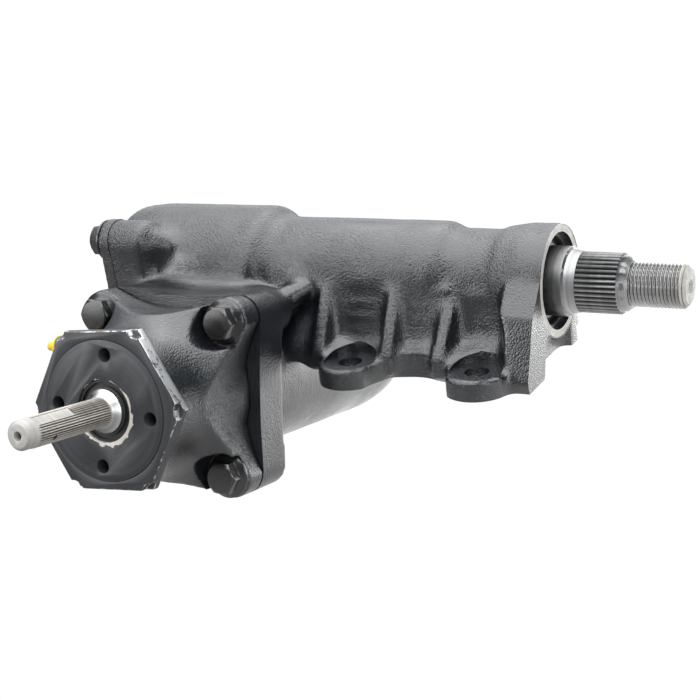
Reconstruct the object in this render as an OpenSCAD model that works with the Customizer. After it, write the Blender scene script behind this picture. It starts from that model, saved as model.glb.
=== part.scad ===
// Recirculating-ball power steering gearbox.
// The sector shaft lies along X, the worm and the input shaft along Y, and Z is up.
// The origin is on the sector shaft axis, in the middle of the thread for the arm nut.

/* [Gearing] */
// Drop from the sector shaft axis to the worm axis
center_distance = 63; // [62.5:0.1:64]
// Pitch radius of the sector gear
sector_pitch_r = 29.7; // [29:0.1:29.8]
// Angle between neighbouring sector teeth
tooth_angle = 42; // [40:1:44]
// Height of a sector tooth above the pitch circle
sector_addendum = 4.2; // [3.6:0.1:4.3]
// Height of a rack tooth above the pitch line
rack_addendum = 4; // [3.2:0.1:4.2]
// Slope of the rack tooth flanks
pressure_angle = 25; // [23:1:27]
// Width of the sector teeth along the shaft
sector_w = 34; // [26:1:35]
// Axial advance of the worm groove in one turn
worm_lead = 11.7; // [11:0.1:12.5]
// Radius of the circle that the ball centres run on
ball_circle_r = 13.6; // [13.2:0.1:14]
// Diameter of the recirculating balls
ball_d = 7.14; // [6.4:0.01:7.2]

/* [Gear housing] */
// Outer radius of the sector chamber
chamber_r = 37.6; // [37:0.1:40]
// Bore radius of the sector chamber
chamber_bore_r = 34.4; // [34.3:0.1:34.8]
// Outer radius of the sector shaft tube
tube_r = 31.3; // [30:0.1:34]
// Outer radius of the waist behind the end boss
waist_r = 25.8; // [25:0.1:28]
// Outer radius of the end boss
boss_r = 31.6; // [31:0.1:34]
// Distance from the worm axis to the end face of the tube
tube_len = 200; // [195:1:202]
// Distance from the worm axis to the side cover joint
cover_joint = 70; // [68:1:74]
// Outer radius of the power cylinder
cylinder_r = 45.9; // [45:0.1:48]
// Bore radius of the power cylinder
cylinder_bore_r = 39.5; // [39.3:0.1:40]
// Distance from the sector axis to the closed end of the power cylinder
cylinder_len = 148; // [144:1:156]
// Distance from the sector axis to the valve housing joint
valve_joint = 78.5; // [77:0.5:82]
// Thickness of the flange that carries the valve housing
flange_t = 25; // [20:1:28]

/* [Mounting feet] */
// Lean of the mounting face about the sector shaft axis
mount_tilt = 12; // [8:1:14]
// Distance from the sector axis to the mounting face
mount_drop = 45.5; // [44:0.5:48]
// Thickness of the feet under the bolt heads
foot_t = 10.2; // [9:0.1:12]
// Height of the cast rim in front of the spot faces
foot_rim = 1.2; // [0.8:0.1:2]
// Distance from the worm axis to the first pair of mounting holes
mount_x = 93; // [91:1:95]
// Spacing of the mounting holes along the sector shaft
mount_pitch = 77; // [75:1:79]
// Distance from the sector axis to each row of mounting holes
mount_y = 53.8; // [52:0.2:58]
// Diameter of the mounting holes
mount_hole_d = 13.5; // [12.5:0.1:14.5]
// Diameter of the spot faces on the feet
spot_d = 30.4; // [28:0.2:32]
// Thickness of the ribs above the feet
rib_t = 8; // [6:0.5:10]

/* [Valve housing] */
// Length of the valve housing from its joint to the lock nut
valve_len = 62.5; // [61:0.5:66]
// Radius of the neck behind the lock nut
neck_r = 41.8; // [41:0.1:43]
// Half spacing of the valve housing bolts across
bolt_x = 41.6; // [41:0.1:44]
// Half spacing of the valve housing bolts up and down
bolt_z = 43.1; // [42.5:0.1:45]
// Radius of the bolt ears
ear_r = 13.5; // [13:0.1:15]
// Thickness of the bolt ears
ear_t = 15; // [13:0.5:18]
// Half width of the valve housing between the ears
valve_waist_x = 43.5; // [43.4:0.1:46]
// Half height of the valve housing between the ears
valve_waist_z = 47; // [45:0.5:50]
// Radius of the valve bore
valve_bore_r = 24.1; // [24:0.1:25]
// Thread radius of the bearing plug
plug_r = 38.4; // [38:0.1:38.8]
// Length of the bearing plug
plug_len = 23; // [22:0.5:25]
// Width of the lock nut across its flats
nut_af = 85.6; // [84:0.2:88]
// Thickness of the lock nut
nut_t = 8; // [7:0.5:9]
// Reach of the hydraulic port bosses from the worm axis
port_reach = 52; // [50:1:56]

/* [Shafts] */
// Journal radius of the sector shaft
journal_r = 19.3; // [18.5:0.1:19.6]
// Distance from the worm axis to the end of the sector shaft
sector_len = 272; // [268:1:278]
// Largest radius of the output serrations
spline_r = 16.6; // [16:0.1:17.5]
// Number of output serrations
spline_n = 36; // [30:1:40]
// Thread radius of the sector shaft
thread_r = 12; // [11:0.1:12.5]
// Largest radius of the input serrations
input_r = 8; // [7.5:0.1:8.5]
// Number of input serrations
input_n = 36; // [30:1:40]
// Distance from the sector axis to the end of the input shaft
input_len = 216.8; // [212:0.2:222]
// Radius of the input shaft in its seal
stub_r = 12; // [11:0.1:12.4]

/* [Fasteners] */
// Thread radius of the flange bolts
bolt_r = 6; // [5:0.5:6]
// Width of the bolt heads across their flats
bolt_af = 17; // [16:0.5:18]
// Radius of the bolt flanges
bolt_flange_r = 12.6; // [11:0.1:13]

/* [Clearances] */
// Radial play of a running fit
run_clear = 0.05; // [0.03:0.01:0.08]
// Radial play of a pressed or screwed seat
seat_clear = 0.02; // [0.01:0.01:0.04]
// Play on each gear tooth flank
flank_clear = 0.25; // [0.2:0.05:0.4]
// Play between the balls and their grooves
groove_clear = 0.45; // [0.4:0.05:0.6]

/* [Hidden] */
$fn = 64;
// Run of a cut past the face that it opens
over = 1;

// Output end of the sector shaft, measured from the worm axis
spline_x = tube_len + 8;
spline_len = 28;
spline_end = spline_x + spline_len;
spline_depth = 1.5;
thread_neck = 6.5;
thread_chamfer = 2.5;
thread_mid = (spline_end + thread_neck + sector_len - thread_chamfer) / 2;

module on_sector(x) { translate([x - thread_mid, 0, 0]) rotate([90, 0, 90]) children(); }
module on_worm(y) { translate([-thread_mid, y, -center_distance]) rotate([90, 0, 0]) children(); }
module on_mount() { translate([-thread_mid, 0, 0]) rotate([mount_tilt, 0, 0]) children(); }

module ring(r_in, r_out, h) {
  difference() {
    cylinder(r = r_out, h = h);
    translate([0, 0, -over]) cylinder(r = r_in, h = h + 2 * over);
  }
}

module torus(r, section_r) { rotate_extrude() translate([r, 0]) circle(section_r, $fn = 32); }

function ease(r1, z1, r2, z2, steps = 6) =
  [for (i = [0:steps]) [r1 + (r2 - r1) * (1 - cos(180 * i / steps)) / 2, z1 + (z2 - z1) * i / steps]];

// Pitch of the rack and its heights above the worm axis
rack_pitch = sector_pitch_r * tooth_angle * PI / 180;
rack_line = center_distance - sector_pitch_r;
rack_tip = rack_line + rack_addendum;
tooth_root_gap = 0.8;
rack_half = 1.5 * rack_pitch + rack_pitch / 4 + 2;

// Sector gear
sector_base_r = sector_pitch_r * cos(pressure_angle);
sector_tip_r = sector_pitch_r + sector_addendum;
sector_root_r = sector_pitch_r - rack_addendum - tooth_root_gap;
function involute(a) = tan(a) * 180 / PI - a;
function tooth_half(r) = tooth_angle / 4 + involute(pressure_angle) - involute(acos(sector_base_r / r))
  - flank_clear / sector_base_r * 180 / PI;
flank_steps = 6;
flank_radii = [for (i = [0:flank_steps]) sector_base_r + (sector_tip_r - sector_base_r) * i / flank_steps];
hub_r = 21;
sector_half = 1.3 * tooth_angle;

module sector_tooth() {
  polygon(concat(
    [[0, 0]],
    [for (r = flank_radii) r * [cos(tooth_half(r)), -sin(tooth_half(r))]],
    [for (i = [flank_steps:-1:0]) let (r = flank_radii[i]) r * [cos(tooth_half(r)), sin(tooth_half(r))]]
  ));
}

module sector_outline() {
  wedge = 3 * sector_tip_r;
  circle(hub_r);
  for (i = [-1:1]) rotate(-90 + i * tooth_angle) sector_tooth();
  intersection() {
    circle(sector_root_r);
    rotate(-90) polygon([[0, 0], wedge * [cos(sector_half), -sin(sector_half)], [wedge, 0],
      wedge * [cos(sector_half), sin(sector_half)]]);
  }
}

module serrated(r, depth, n, h) {
  linear_extrude(height = h)
    polygon([for (i = [0:2 * n - 1]) (r - depth * (i % 2)) * [cos(180 * i / n), sin(180 * i / n)]]);
}

// Sector shaft bearings and seal
roller_r = 1.5;
needle_len = 24;
shell_t = 1.2;
needle_shell_r = journal_r + run_clear + 2 * roller_r + seat_clear + shell_t;
inner_needle_x = sector_w / 2 + 6;
outer_needle_x = tube_len - 38;
seal_x = tube_len - 13;
seal_r = 27;
seal_t = 6.5;
snap_t = 1.6;
snap_bite = 1;
snap_play = 0.1;

shaft_clear = 0.7;

// Cover end of the sector shaft
cover_journal_r = 14;
cover_shell_r = cover_journal_r + run_clear + 2 * roller_r + seat_clear + shell_t;
cover_t = 8;
cover_face = -cover_joint - cover_t;
cover_rim_r = chamber_r - 1.6;
cover_dome_h = 19;
cover_boss_r = 14.5;
cover_boss_len = 23;
spigot_len = 28;
journal_end = -cover_joint + 10;
cover_shell_x = -cover_joint + 2;
needle_end_gap = 2;
cover_needle_x = journal_end + needle_end_gap;
cover_needle_len = cover_shell_x + needle_len - needle_end_gap - cover_needle_x;
cover_bolt_r = 41.5;
cover_bolt_high = 23.6;
cover_bolt_low = -52;
cover_bolt_angles = [cover_bolt_high, 180 - cover_bolt_high, cover_bolt_low, 180 - cover_bolt_low];
cover_ear_r = bolt_flange_r + 0.6;
cover_ear_len = 24;
screw_r = 5;
screw_proud = 3;
screw_head_r = 9;
screw_head_t = 5;
adjust_nut_t = 5;
adjust_nut_af = 17;
screw_end = cover_face - cover_boss_len - adjust_nut_t - screw_proud;
ring_section_r = 1.3;
ring_groove_z = 6;
bolt_clear = 0.5;
head_clear = 1.4;

// Valve housing stations, measured forward of the joint
plug_proud = 0.5;
plug_seat = valve_len + nut_t + plug_proud - plug_len;
plug_face = -valve_joint - valve_len - nut_t - plug_proud;
bell_r = 76;
bell_foot_r = valve_waist_z + 0.8;
bell_foot_h = 40;
rear_race_r = 30;
rear_race_t = 11;
joint_ring_r = rear_race_r + 6;
rear_ball_r = 3.5;
rear_ball_circle_r = 20.5;
inner_race_r = 14;
port_y = 37.5;
port_z = 26;
port_r = 10;
port_hole_r = 5.5;
port_depth = 16;
port_passage_r = 3;
port_cap_r = 7;
port_cap_t = 4;
cap_tab_r = 2.6;
cap_tab_len = 7;
bolt_seat = ear_t;
bolt_grip = 22;
seal_out_r = 17;
seal_set = 1.5;
input_seal_t = 7;
input_needle_r = 1.25;
input_needle_len = 12;
input_shell_r = stub_r + run_clear + 2 * input_needle_r + seat_clear + shell_t;
pin_circle_r = 30.3;
pin_hole_r = 3.75;
pin_turn = -3.4;
nut_turn = 4.5;
notch_r = 7;
notch_bite = 4;
notch_h = 4;

// Worm, sleeve and torsion bar
worm_r = ball_circle_r - 1;
worm_front = 45;
worm_rear = 39;
worm_flange_t = 5;
flange_front = valve_joint + rear_race_t + worm_flange_t;
sleeve_gap = 4;
sleeve_len = valve_joint + plug_seat - sleeve_gap - flange_front;
sleeve_in_r = 15.1;
sleeve_out_r = valve_bore_r - 0.5;
sleeve_ring_w = 2.2;
sleeve_ring_depth = 1.4;
sleeve_land = 2;
sleeve_pitch = (sleeve_len - 2 * sleeve_land - sleeve_ring_w) / 3;
bar_r = 5;
bar_rear = 60;
bar_front = input_len - 14;
torsion_pin_r = 1.5;
pin_set = 6;

// Ball nut piston
piston_r = cylinder_bore_r - run_clear;
piston_front = 52;
piston_rear = 90;
piston_crown_t = 12;
piston_ring_y = 72;
piston_ring_w = 4;
piston_ring_t = 3;
nut_bore_r = worm_r + 1.4;
groove_front = 24;
groove_rear = 18;
ball_start = -360;
ball_turn = 900;
balls_per_turn = 11;
guide_r = 5.2;
guide_y = -26;
guide_pocket_y = -19.5;
guide_pocket_x = 22;
guide_pocket_z = [-22, 30];
guide_seat = 8;
guide_bulge = 0.25;
guide_ball_clear = 0.3;
nut_land = 0.8;
cylinder_bore_end = 118;

function wrap(a) = a > 180 ? a - 360 : a;
lead_angle = atan(worm_lead / (2 * PI * ball_circle_r));
function groove_depth(a, r) = let (s = worm_lead * wrap(a) / 360 * cos(lead_angle))
  s * s < r * r ? sqrt(r * r - s * s) : 0;
groove_r = ball_d / 2 + groove_clear;
groove_step = 12;

module helix(z0, h, section) {
  turn = 360 * h / worm_lead;
  translate([0, 0, z0]) rotate(360 * z0 / worm_lead)
    linear_extrude(height = h, twist = -turn, slices = ceil(turn / 24), $fn = 360 / groove_step)
      polygon([for (a = [0:groove_step:359]) section[a / groove_step] * [cos(a), sin(a)]]);
}

worm_section = [for (a = [0:groove_step:359])
  min(worm_r, ball_circle_r - groove_depth(a, groove_r))];
nut_section = [for (a = [0:groove_step:359])
  max(nut_bore_r + nut_land, ball_circle_r + groove_depth(a, groove_r))];

module flange_outline(waist_x, waist_z) {
  side_x = bolt_x + ear_r;
  side_z = bolt_z + ear_r;
  dip_x = side_x - waist_x;
  dip_z = side_z - waist_z;
  dip_rx = (bolt_z * bolt_z + dip_x * dip_x) / (2 * dip_x);
  dip_rz = (bolt_x * bolt_x + dip_z * dip_z) / (2 * dip_z);
  difference() {
    union() {
      square([2 * bolt_x, 2 * side_z], center = true);
      square([2 * side_x, 2 * bolt_z], center = true);
      for (sx = [-1, 1], sz = [-1, 1]) translate([sx * bolt_x, sz * bolt_z]) circle(ear_r);
    }
    for (s = [-1, 1]) {
      translate([s * (waist_x + dip_rx), 0]) circle(dip_rx, $fn = 128);
      translate([0, s * (waist_z + dip_rz)]) circle(dip_rz, $fn = 128);
    }
  }
}

module at_valve_bolts() {
  for (sx = [-1, 1], sz = [-1, 1]) translate([sx * bolt_x, sz * bolt_z, 0]) children();
}

module at_cover_bolts() {
  for (a = cover_bolt_angles) translate([cover_bolt_r * cos(a), cover_bolt_r * sin(a), 0]) children();
}

module at_mount_holes() {
  on_mount() for (x = [mount_x, mount_x + mount_pitch], s = [-1, 1])
    translate([x, s * mount_y, 0]) children();
}

// Flange bolt with its seat at z = 0 and its head above
module flange_bolt(shank) {
  rim_t = 1.2;
  cone_t = 3.4;
  head_h = 9.5;
  corner_r = bolt_af / sqrt(3);
  chamfer_h = 1.4;
  rotate_extrude()
    polygon([[0, 0], [bolt_flange_r, 0], [bolt_flange_r, rim_t], [bolt_af / 2, cone_t], [0, cone_t]]);
  intersection() {
    cylinder(r = corner_r, h = head_h, $fn = 6);
    rotate_extrude() polygon([[0, 0], [corner_r, 0], [corner_r, head_h - chamfer_h],
      [bolt_af / 2 - 0.6, head_h], [0, head_h]]);
  }
  translate([0, 0, -shank]) cylinder(r = bolt_r, h = shank);
}

// Cast shell of the chamber, tube, waist and end boss
module tube_casting() {
  chamber_end = sector_w / 2 + 1;
  on_sector(0) rotate_extrude($fn = 96) polygon(concat(
    [[0, -cover_joint], [cover_rim_r, -cover_joint]],
    [[chamber_r - 0.4, -cover_joint + 8], [chamber_r, -cover_joint + 14], [chamber_r, chamber_end]],
    ease(chamber_r, chamber_end, tube_r, chamber_end + 14),
    ease(tube_r, tube_len - 68, waist_r, tube_len - 52),
    [[waist_r, tube_len - 43], [waist_r - 1.5, tube_len - 39]],
    ease(waist_r - 1, tube_len - 38, boss_r - 2, tube_len - 28),
    [[boss_r, tube_len - 16], [boss_r, tube_len], [0, tube_len]]
  ));
}

module cylinder_casting() {
  crown_r = 91;
  crown_y = 100;
  crown_end = cylinder_len - 8;
  function crown(y) = cylinder_r - crown_r + sqrt(crown_r * crown_r - (y - crown_y) * (y - crown_y));
  on_worm(0) rotate_extrude($fn = 96) polygon(concat(
    [[0, valve_joint - flange_t], [cylinder_r, valve_joint - flange_t]],
    [for (i = [0:5]) let (y = crown_y + (crown_end - crown_y) * i / 5) [crown(y), -y]],
    [[crown(crown_end) - 8, -cylinder_len], [0, -cylinder_len]]
  ));
}

// Mounting feet and the skirt under the tube
lobe_r = spot_d / 2 + 3.3;
foot_h = foot_t + foot_rim;
foot_rise = 20;
skirt_y = tube_r - 2;
skirt_start = mount_x - lobe_r - rib_t;
leg_t = 20;
relief_h = 5;

// Foot with a lobe at each hole and a waist between them
module foot_outline() {
  waist_y = mount_y - 8;
  waist_bite = mount_pitch * 0.3;
  difference() {
    union() {
      for (x = [mount_x, mount_x + mount_pitch]) translate([x, mount_y]) {
        circle(lobe_r);
        translate([-lobe_r, -mount_y]) square([2 * lobe_r, mount_y]);
      }
      translate([mount_x, 0]) square([mount_pitch, waist_y]);
    }
    translate([mount_x + mount_pitch / 2, waist_y + waist_bite]) circle(waist_bite + 2);
  }
}

// Foot that is low in front of its spot faces and rises towards the skirt
module foot() {
  edge_y = mount_y + lobe_r + over;
  intersection() {
    linear_extrude(height = foot_rise) mirror([0, 1]) foot_outline();
    rotate([90, 0, 90]) linear_extrude(height = tube_len)
      polygon([[0, -over], [-edge_y, -over], [-edge_y, foot_h], [-mount_y, foot_h], [-skirt_y, foot_rise],
        [0, foot_rise]]);
  }
}

module rib(x, crest_r, lean) {
  toe_y = mount_y - 2;
  toe_h = 14;
  translate([x + rib_t / 2, 0, 0]) rotate(lean) translate([-rib_t / 2, 0, 0]) rotate([90, 0, 90])
    linear_extrude(height = rib_t)
      polygon([[0, crest_r - 11], [-crest_r + 6, crest_r - 15], [-crest_r + 1.5, 7],
        [-toe_y, toe_h - mount_drop], [-toe_y, 2 - mount_drop], [0, 2 - mount_drop]]);
}

// Splayed leg under the end boss on the front side, and the plain one behind it
module front_leg() {
  translate([tube_len - leg_t, 0, 0]) rotate([90, 0, 90]) linear_extrude(height = leg_t)
    polygon([[0, 0], [-boss_r, 8], [-boss_r - 13, -7], [-mount_y - 3, -mount_drop + 6],
      [-mount_y, -mount_drop], [-boss_r - 2, -mount_drop], [-boss_r + 6, -boss_r + 8]]);
}

module rear_leg() {
  translate([tube_len - leg_t, 0, 0]) rotate([90, 0, 90]) linear_extrude(height = leg_t - 3)
    polygon([[0, 0], [boss_r - 0.5, 0], [boss_r - 0.5, -mount_drop], [boss_r - 12, -mount_drop],
      [boss_r - 12, -boss_r + 8]]);
}

// Web from the valve flange to the first foot, arched underneath
module flange_web() {
  web_y = mount_y - 4.5;
  web_base = 1 - mount_drop;
  web_end = skirt_start + rib_t;
  arch_r = 16;
  arch_h = 3.5;
  difference() {
    translate([bolt_x, 0, 0]) rotate([90, 0, 90]) linear_extrude(height = web_end - bolt_x)
      polygon([[-skirt_y + 8, -10], [-skirt_y, -12], [-web_y + 4, -27], [-web_y, -34], [-web_y, web_base],
        [-skirt_y + 8, web_base]]);
    translate([bolt_x + arch_r - 4, 0, web_base + arch_h - arch_r]) rotate([90, 0, 0])
      cylinder(r = arch_r, h = mount_y + lobe_r);
  }
}

module mount_casting() {
  skirt_len = tube_len - leg_t / 2 - skirt_start;
  on_mount() {
    translate([skirt_start, -skirt_y, -mount_drop]) cube([skirt_len, 2 * skirt_y, mount_drop]);
    for (s = [0, 1]) mirror([0, s, 0]) {
      translate([0, 0, -mount_drop]) foot();
      rib(skirt_start, tube_r, 0);
      rib(mount_x + spot_d / 2 + 1.5, tube_r, 0);
      rib(mount_x + mount_pitch - lobe_r - rib_t + 2, waist_r + 1, -5);
    }
    front_leg();
    rear_leg();
    flange_web();
  }
}

// Pads of the cover joint, with an arm to each ear and a straight side from the upper to the lower bolt
module cover_pads(h) {
  arm_w = 2 * cover_ear_r - 2;
  side_len = 2 * cover_bolt_r * sin((cover_bolt_high - cover_bolt_low) / 2);
  side_turn = (cover_bolt_high + cover_bolt_low) / 2 - 90;
  linear_extrude(height = h) {
    for (a = cover_bolt_angles) rotate(a) {
      translate([cover_bolt_r, 0]) circle(cover_ear_r);
      translate([0, -arm_w / 2]) square([cover_bolt_r, arm_w]);
    }
    for (s = [0, 1]) mirror([s, 0]) rotate(cover_bolt_high) translate([cover_bolt_r, 0])
      rotate(side_turn - cover_bolt_high) translate([0, -arm_w / 2]) square([side_len, arm_w]);
  }
}

module gear_housing() {
  boss_len = flange_t + 10;
  color([0.09, 0.09, 0.10]) difference() {
    union() {
      tube_casting();
      cylinder_casting();
      on_worm(-valve_joint + flange_t) linear_extrude(height = flange_t)
        flange_outline(bolt_x + ear_r - 1.5, bolt_z + ear_r - 3);
      on_worm(-valve_joint + boss_len) for (s = [-1, 1]) translate([s * bolt_x, bolt_z, 0])
        cylinder(r = ear_r - 0.5, h = boss_len - over);
      mount_casting();
      on_sector(-cover_joint) cover_pads(cover_ear_len);
    }
    on_worm(cylinder_bore_end) cylinder(r = cylinder_bore_r, h = cylinder_bore_end + valve_joint + over);
    on_sector(-cover_joint - over) cylinder(r = chamber_bore_r, h = cover_joint + over + sector_w / 2 + 2);
    on_sector(sector_w / 2) cylinder(r = journal_r + shaft_clear, h = tube_len);
    on_sector(sector_w / 2)
      cylinder(r = needle_shell_r - shell_t, h = inner_needle_x - sector_w / 2 + over);
    on_sector(inner_needle_x) cylinder(r = needle_shell_r + seat_clear, h = needle_len);
    on_sector(outer_needle_x) cylinder(r = needle_shell_r + seat_clear, h = tube_len);
    on_sector(seal_x) cylinder(r = seal_r + seat_clear, h = tube_len);
    on_sector(seal_x + seal_t) cylinder(r = seal_r + snap_bite, h = snap_t + snap_play);
    on_worm(-valve_joint + bolt_grip) at_valve_bolts()
      cylinder(r = bolt_r + seat_clear, h = bolt_grip + over);
    on_sector(-cover_joint - over) at_cover_bolts()
      cylinder(r = bolt_r + seat_clear, h = cover_ear_len - 3);
    at_mount_holes() {
      translate([0, 0, -mount_drop - over]) cylinder(d = mount_hole_d, h = mount_drop);
      translate([0, 0, -mount_drop + foot_t]) cylinder(d = spot_d, h = mount_drop);
    }
    on_mount() translate([mount_x - 8, -tube_r, -mount_drop - over])
      cube([mount_pitch + 4, 2 * tube_r, relief_h + over]);
  }
}

function bell(steps) = [for (i = [0:steps])
  let (t = 90 * i / steps, start = ear_t + 1, end = valve_len - 13)
  [bell_r - (bell_r - neck_r) * sin(t), end - (end - start) * cos(t)]];

module at_ports() {
  for (s = [-1, 1]) translate([0, s * port_z, port_y]) rotate([0, -90, 0]) children();
}

module valve_housing() {
  port_floor = port_reach - port_depth;
  color([0.08, 0.08, 0.09]) on_worm(-valve_joint) difference() {
    union() {
      intersection() {
        rotate_extrude($fn = 96)
          polygon(concat([[0, 0], [bell_r, 0]], bell(8), [[neck_r, valve_len], [0, valve_len]]));
        linear_extrude(height = valve_len) flange_outline(valve_waist_x, valve_waist_z);
      }
      cylinder(r1 = bell_foot_r, r2 = neck_r, h = bell_foot_h);
      at_ports() cylinder(r = port_r, h = port_reach);
    }
    translate([0, 0, -over]) cylinder(r = valve_bore_r, h = valve_len + 2 * over);
    translate([0, 0, plug_seat]) cylinder(r = plug_r + seat_clear, h = valve_len);
    translate([0, 0, -over]) cylinder(r = rear_race_r + seat_clear, h = rear_race_t + 2 * over);
    at_ports() translate([0, 0, port_floor]) cylinder(r = port_hole_r, h = port_depth + over);
    for (s = [-1, 1]) translate([0, 0, port_y]) rotate([0, -90, s * atan2(-port_z, port_floor)])
      cylinder(r = port_passage_r, h = norm([port_floor, port_z]));
    at_valve_bolts() {
      translate([0, 0, -over]) cylinder(r = bolt_r + bolt_clear, h = valve_len);
      translate([0, 0, bolt_seat]) cylinder(r = bolt_flange_r + head_clear, h = valve_len);
    }
    difference() {
      torus(joint_ring_r, ring_section_r + 0.1);
      translate([0, 0, -3]) cylinder(r = joint_ring_r - 3, h = 6);
    }
  }
}

module valve_joint_seal() {
  color([0.05, 0.05, 0.05]) on_worm(-valve_joint) difference() {
    torus(joint_ring_r, ring_section_r);
    translate([0, 0, -2]) cylinder(r = joint_ring_r + 10, h = 2);
  }
}

module valve_bolts() {
  color([0.10, 0.10, 0.11]) on_worm(-valve_joint - bolt_seat) at_valve_bolts()
    flange_bolt(bolt_seat + bolt_grip - 4);
}

module bearing_plug() {
  pin_hole_depth = 10;
  color([0.16, 0.16, 0.17]) on_worm(plug_face + plug_len) difference() {
    cylinder(r = plug_r, h = plug_len);
    translate([0, 0, -over]) cylinder(r = stub_r + 0.4, h = plug_len + 2 * over);
    translate([0, 0, plug_len - seal_set - input_seal_t])
      cylinder(r = seal_out_r + seat_clear, h = plug_len);
    translate([0, 0, -over]) cylinder(r = input_shell_r + seat_clear, h = input_needle_len + over);
    for (a = [0:90:270]) rotate(pin_turn + a) translate([pin_circle_r, 0, plug_len - pin_hole_depth])
      cylinder(r = pin_hole_r, h = pin_hole_depth + over, $fn = 32);
  }
}

module plug_lock_nut() {
  corner_r = nut_af / sqrt(3);
  color([0.14, 0.14, 0.15]) on_worm(-valve_joint - valve_len) rotate(nut_turn) difference() {
    cylinder(r = corner_r, h = nut_t, $fn = 6);
    translate([0, 0, -over]) cylinder(r = plug_r + seat_clear, h = nut_t + 2 * over);
    for (a = [0:60:300]) rotate(a) translate([corner_r + notch_r - notch_bite, 0, nut_t - notch_h])
      cylinder(r = notch_r, h = notch_h + over, $fn = 32);
  }
}

module input_seal() {
  color([0.04, 0.04, 0.04]) on_worm(plug_face + seal_set + input_seal_t) difference() {
    cylinder(r = seal_out_r, h = input_seal_t);
    translate([0, 0, -over]) cylinder(r = stub_r + run_clear, h = input_seal_t + 2 * over);
    translate([0, 0, input_seal_t - 1.6]) ring(stub_r + 1.2, seal_out_r - 1.4, 3);
  }
}

module input_needle_shell() {
  color("silver") on_worm(plug_face + plug_len)
    ring(input_shell_r - shell_t, input_shell_r, input_needle_len);
}

module input_needles() {
  color("gainsboro") on_worm(plug_face + plug_len) for (a = [0:20:340])
    rotate(a) translate([stub_r + run_clear + input_needle_r, 0, 1])
      cylinder(r = input_needle_r, h = input_needle_len - 2, $fn = 24);
}

module worm_outer_race() {
  color("silver") on_worm(-valve_joint - 1) difference() {
    ring(rear_ball_circle_r + 2, rear_race_r, rear_race_t);
    translate([0, 0, rear_race_t / 2]) torus(rear_ball_circle_r, rear_ball_r + seat_clear);
  }
}

module worm_bearing_balls() {
  color("gainsboro") on_worm(-valve_joint - 1) for (a = [0:24:336])
    rotate(a) translate([rear_ball_circle_r, 0, rear_race_t / 2]) sphere(r = rear_ball_r, $fn = 32);
}

function cover_dome(steps) = [for (i = [0:steps]) let (t = 90 * i / steps)
  [cover_boss_r + (cover_rim_r - cover_boss_r) * cos(t), cover_t - cover_dome_h * sin(t)]];

module side_cover() {
  color([0.10, 0.10, 0.11]) on_sector(cover_face) difference() {
    union() {
      rotate_extrude($fn = 96) polygon(concat([[0, cover_t]], cover_dome(8),
        [[cover_boss_r, 1 - cover_boss_len], [cover_boss_r - 1, -cover_boss_len], [0, -cover_boss_len]]));
      cover_pads(cover_t);
      translate([0, 0, cover_t - over]) cylinder(r = chamber_bore_r - run_clear, h = spigot_len / 2 + over);
      translate([0, 0, cover_t]) cylinder(r = cover_shell_r + 5, h = spigot_len);
    }
    translate([0, 0, cover_t]) cylinder(r = cover_shell_r + seat_clear, h = spigot_len + over);
    translate([0, 0, cover_t - 6]) cylinder(r = cover_journal_r + 1, h = 8);
    translate([0, 0, -cover_boss_len - over])
      cylinder(r = screw_r + seat_clear, h = cover_boss_len + cover_t);
    at_cover_bolts() {
      translate([0, 0, -over]) cylinder(r = bolt_r + bolt_clear, h = cover_t + 2 * over);
      translate([0, 0, -cover_boss_len]) cylinder(r = bolt_flange_r + head_clear, h = cover_boss_len);
    }
    translate([0, 0, cover_t + ring_groove_z])
      ring(chamber_bore_r - 2 * ring_section_r, chamber_r, 2 * ring_section_r + 0.4);
  }
}

module side_cover_seal() {
  color([0.05, 0.05, 0.05]) on_sector(-cover_joint + ring_groove_z + 0.2 + ring_section_r)
    torus(chamber_bore_r - ring_section_r, ring_section_r - 0.01);
}

module side_cover_bolts() {
  color([0.10, 0.10, 0.11]) on_sector(cover_face) at_cover_bolts() mirror([0, 0, 1])
    flange_bolt(cover_t + cover_ear_len - 8);
}

module cover_needle_shell() {
  color("silver") on_sector(cover_shell_x) ring(cover_shell_r - shell_t, cover_shell_r, needle_len);
}

module cover_needles() {
  color("gainsboro") on_sector(cover_needle_x) for (a = [0:18:342])
    rotate(a) translate([cover_journal_r + run_clear + roller_r, 0, 0])
      cylinder(r = roller_r, h = cover_needle_len, $fn = 24);
}

module adjusting_screw() {
  slot_w = 1.6;
  slot_depth = 3;
  color([0.45, 0.45, 0.46]) on_sector(screw_end) difference() {
    union() {
      cylinder(r = screw_r, h = journal_end - screw_end + over);
      translate([0, 0, journal_end - screw_end]) cylinder(r = screw_head_r, h = screw_head_t);
    }
    translate([-screw_r - over, -slot_w / 2, -over])
      cube([2 * screw_r + 2 * over, slot_w, slot_depth + over]);
  }
}

module adjusting_lock_nut() {
  color([0.30, 0.30, 0.31]) on_sector(screw_end + screw_proud) difference() {
    cylinder(r = adjust_nut_af / sqrt(3), h = adjust_nut_t, $fn = 6);
    translate([0, 0, -over]) cylinder(r = screw_r + seat_clear, h = adjust_nut_t + 2 * over);
  }
}

module inner_needle_shell() {
  color("silver") on_sector(inner_needle_x) ring(needle_shell_r - shell_t, needle_shell_r, needle_len);
}

module inner_needles() {
  color("gainsboro") on_sector(inner_needle_x) for (a = [0:15:345])
    rotate(a) translate([journal_r + run_clear + roller_r, 0, 1])
      cylinder(r = roller_r, h = needle_len - 2, $fn = 24);
}

module outer_needle_shell() {
  color("silver") on_sector(outer_needle_x) ring(needle_shell_r - shell_t, needle_shell_r, needle_len);
}

module outer_needles() {
  color("gainsboro") on_sector(outer_needle_x) for (a = [0:15:345])
    rotate(a) translate([journal_r + run_clear + roller_r, 0, 1])
      cylinder(r = roller_r, h = needle_len - 2, $fn = 24);
}

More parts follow.
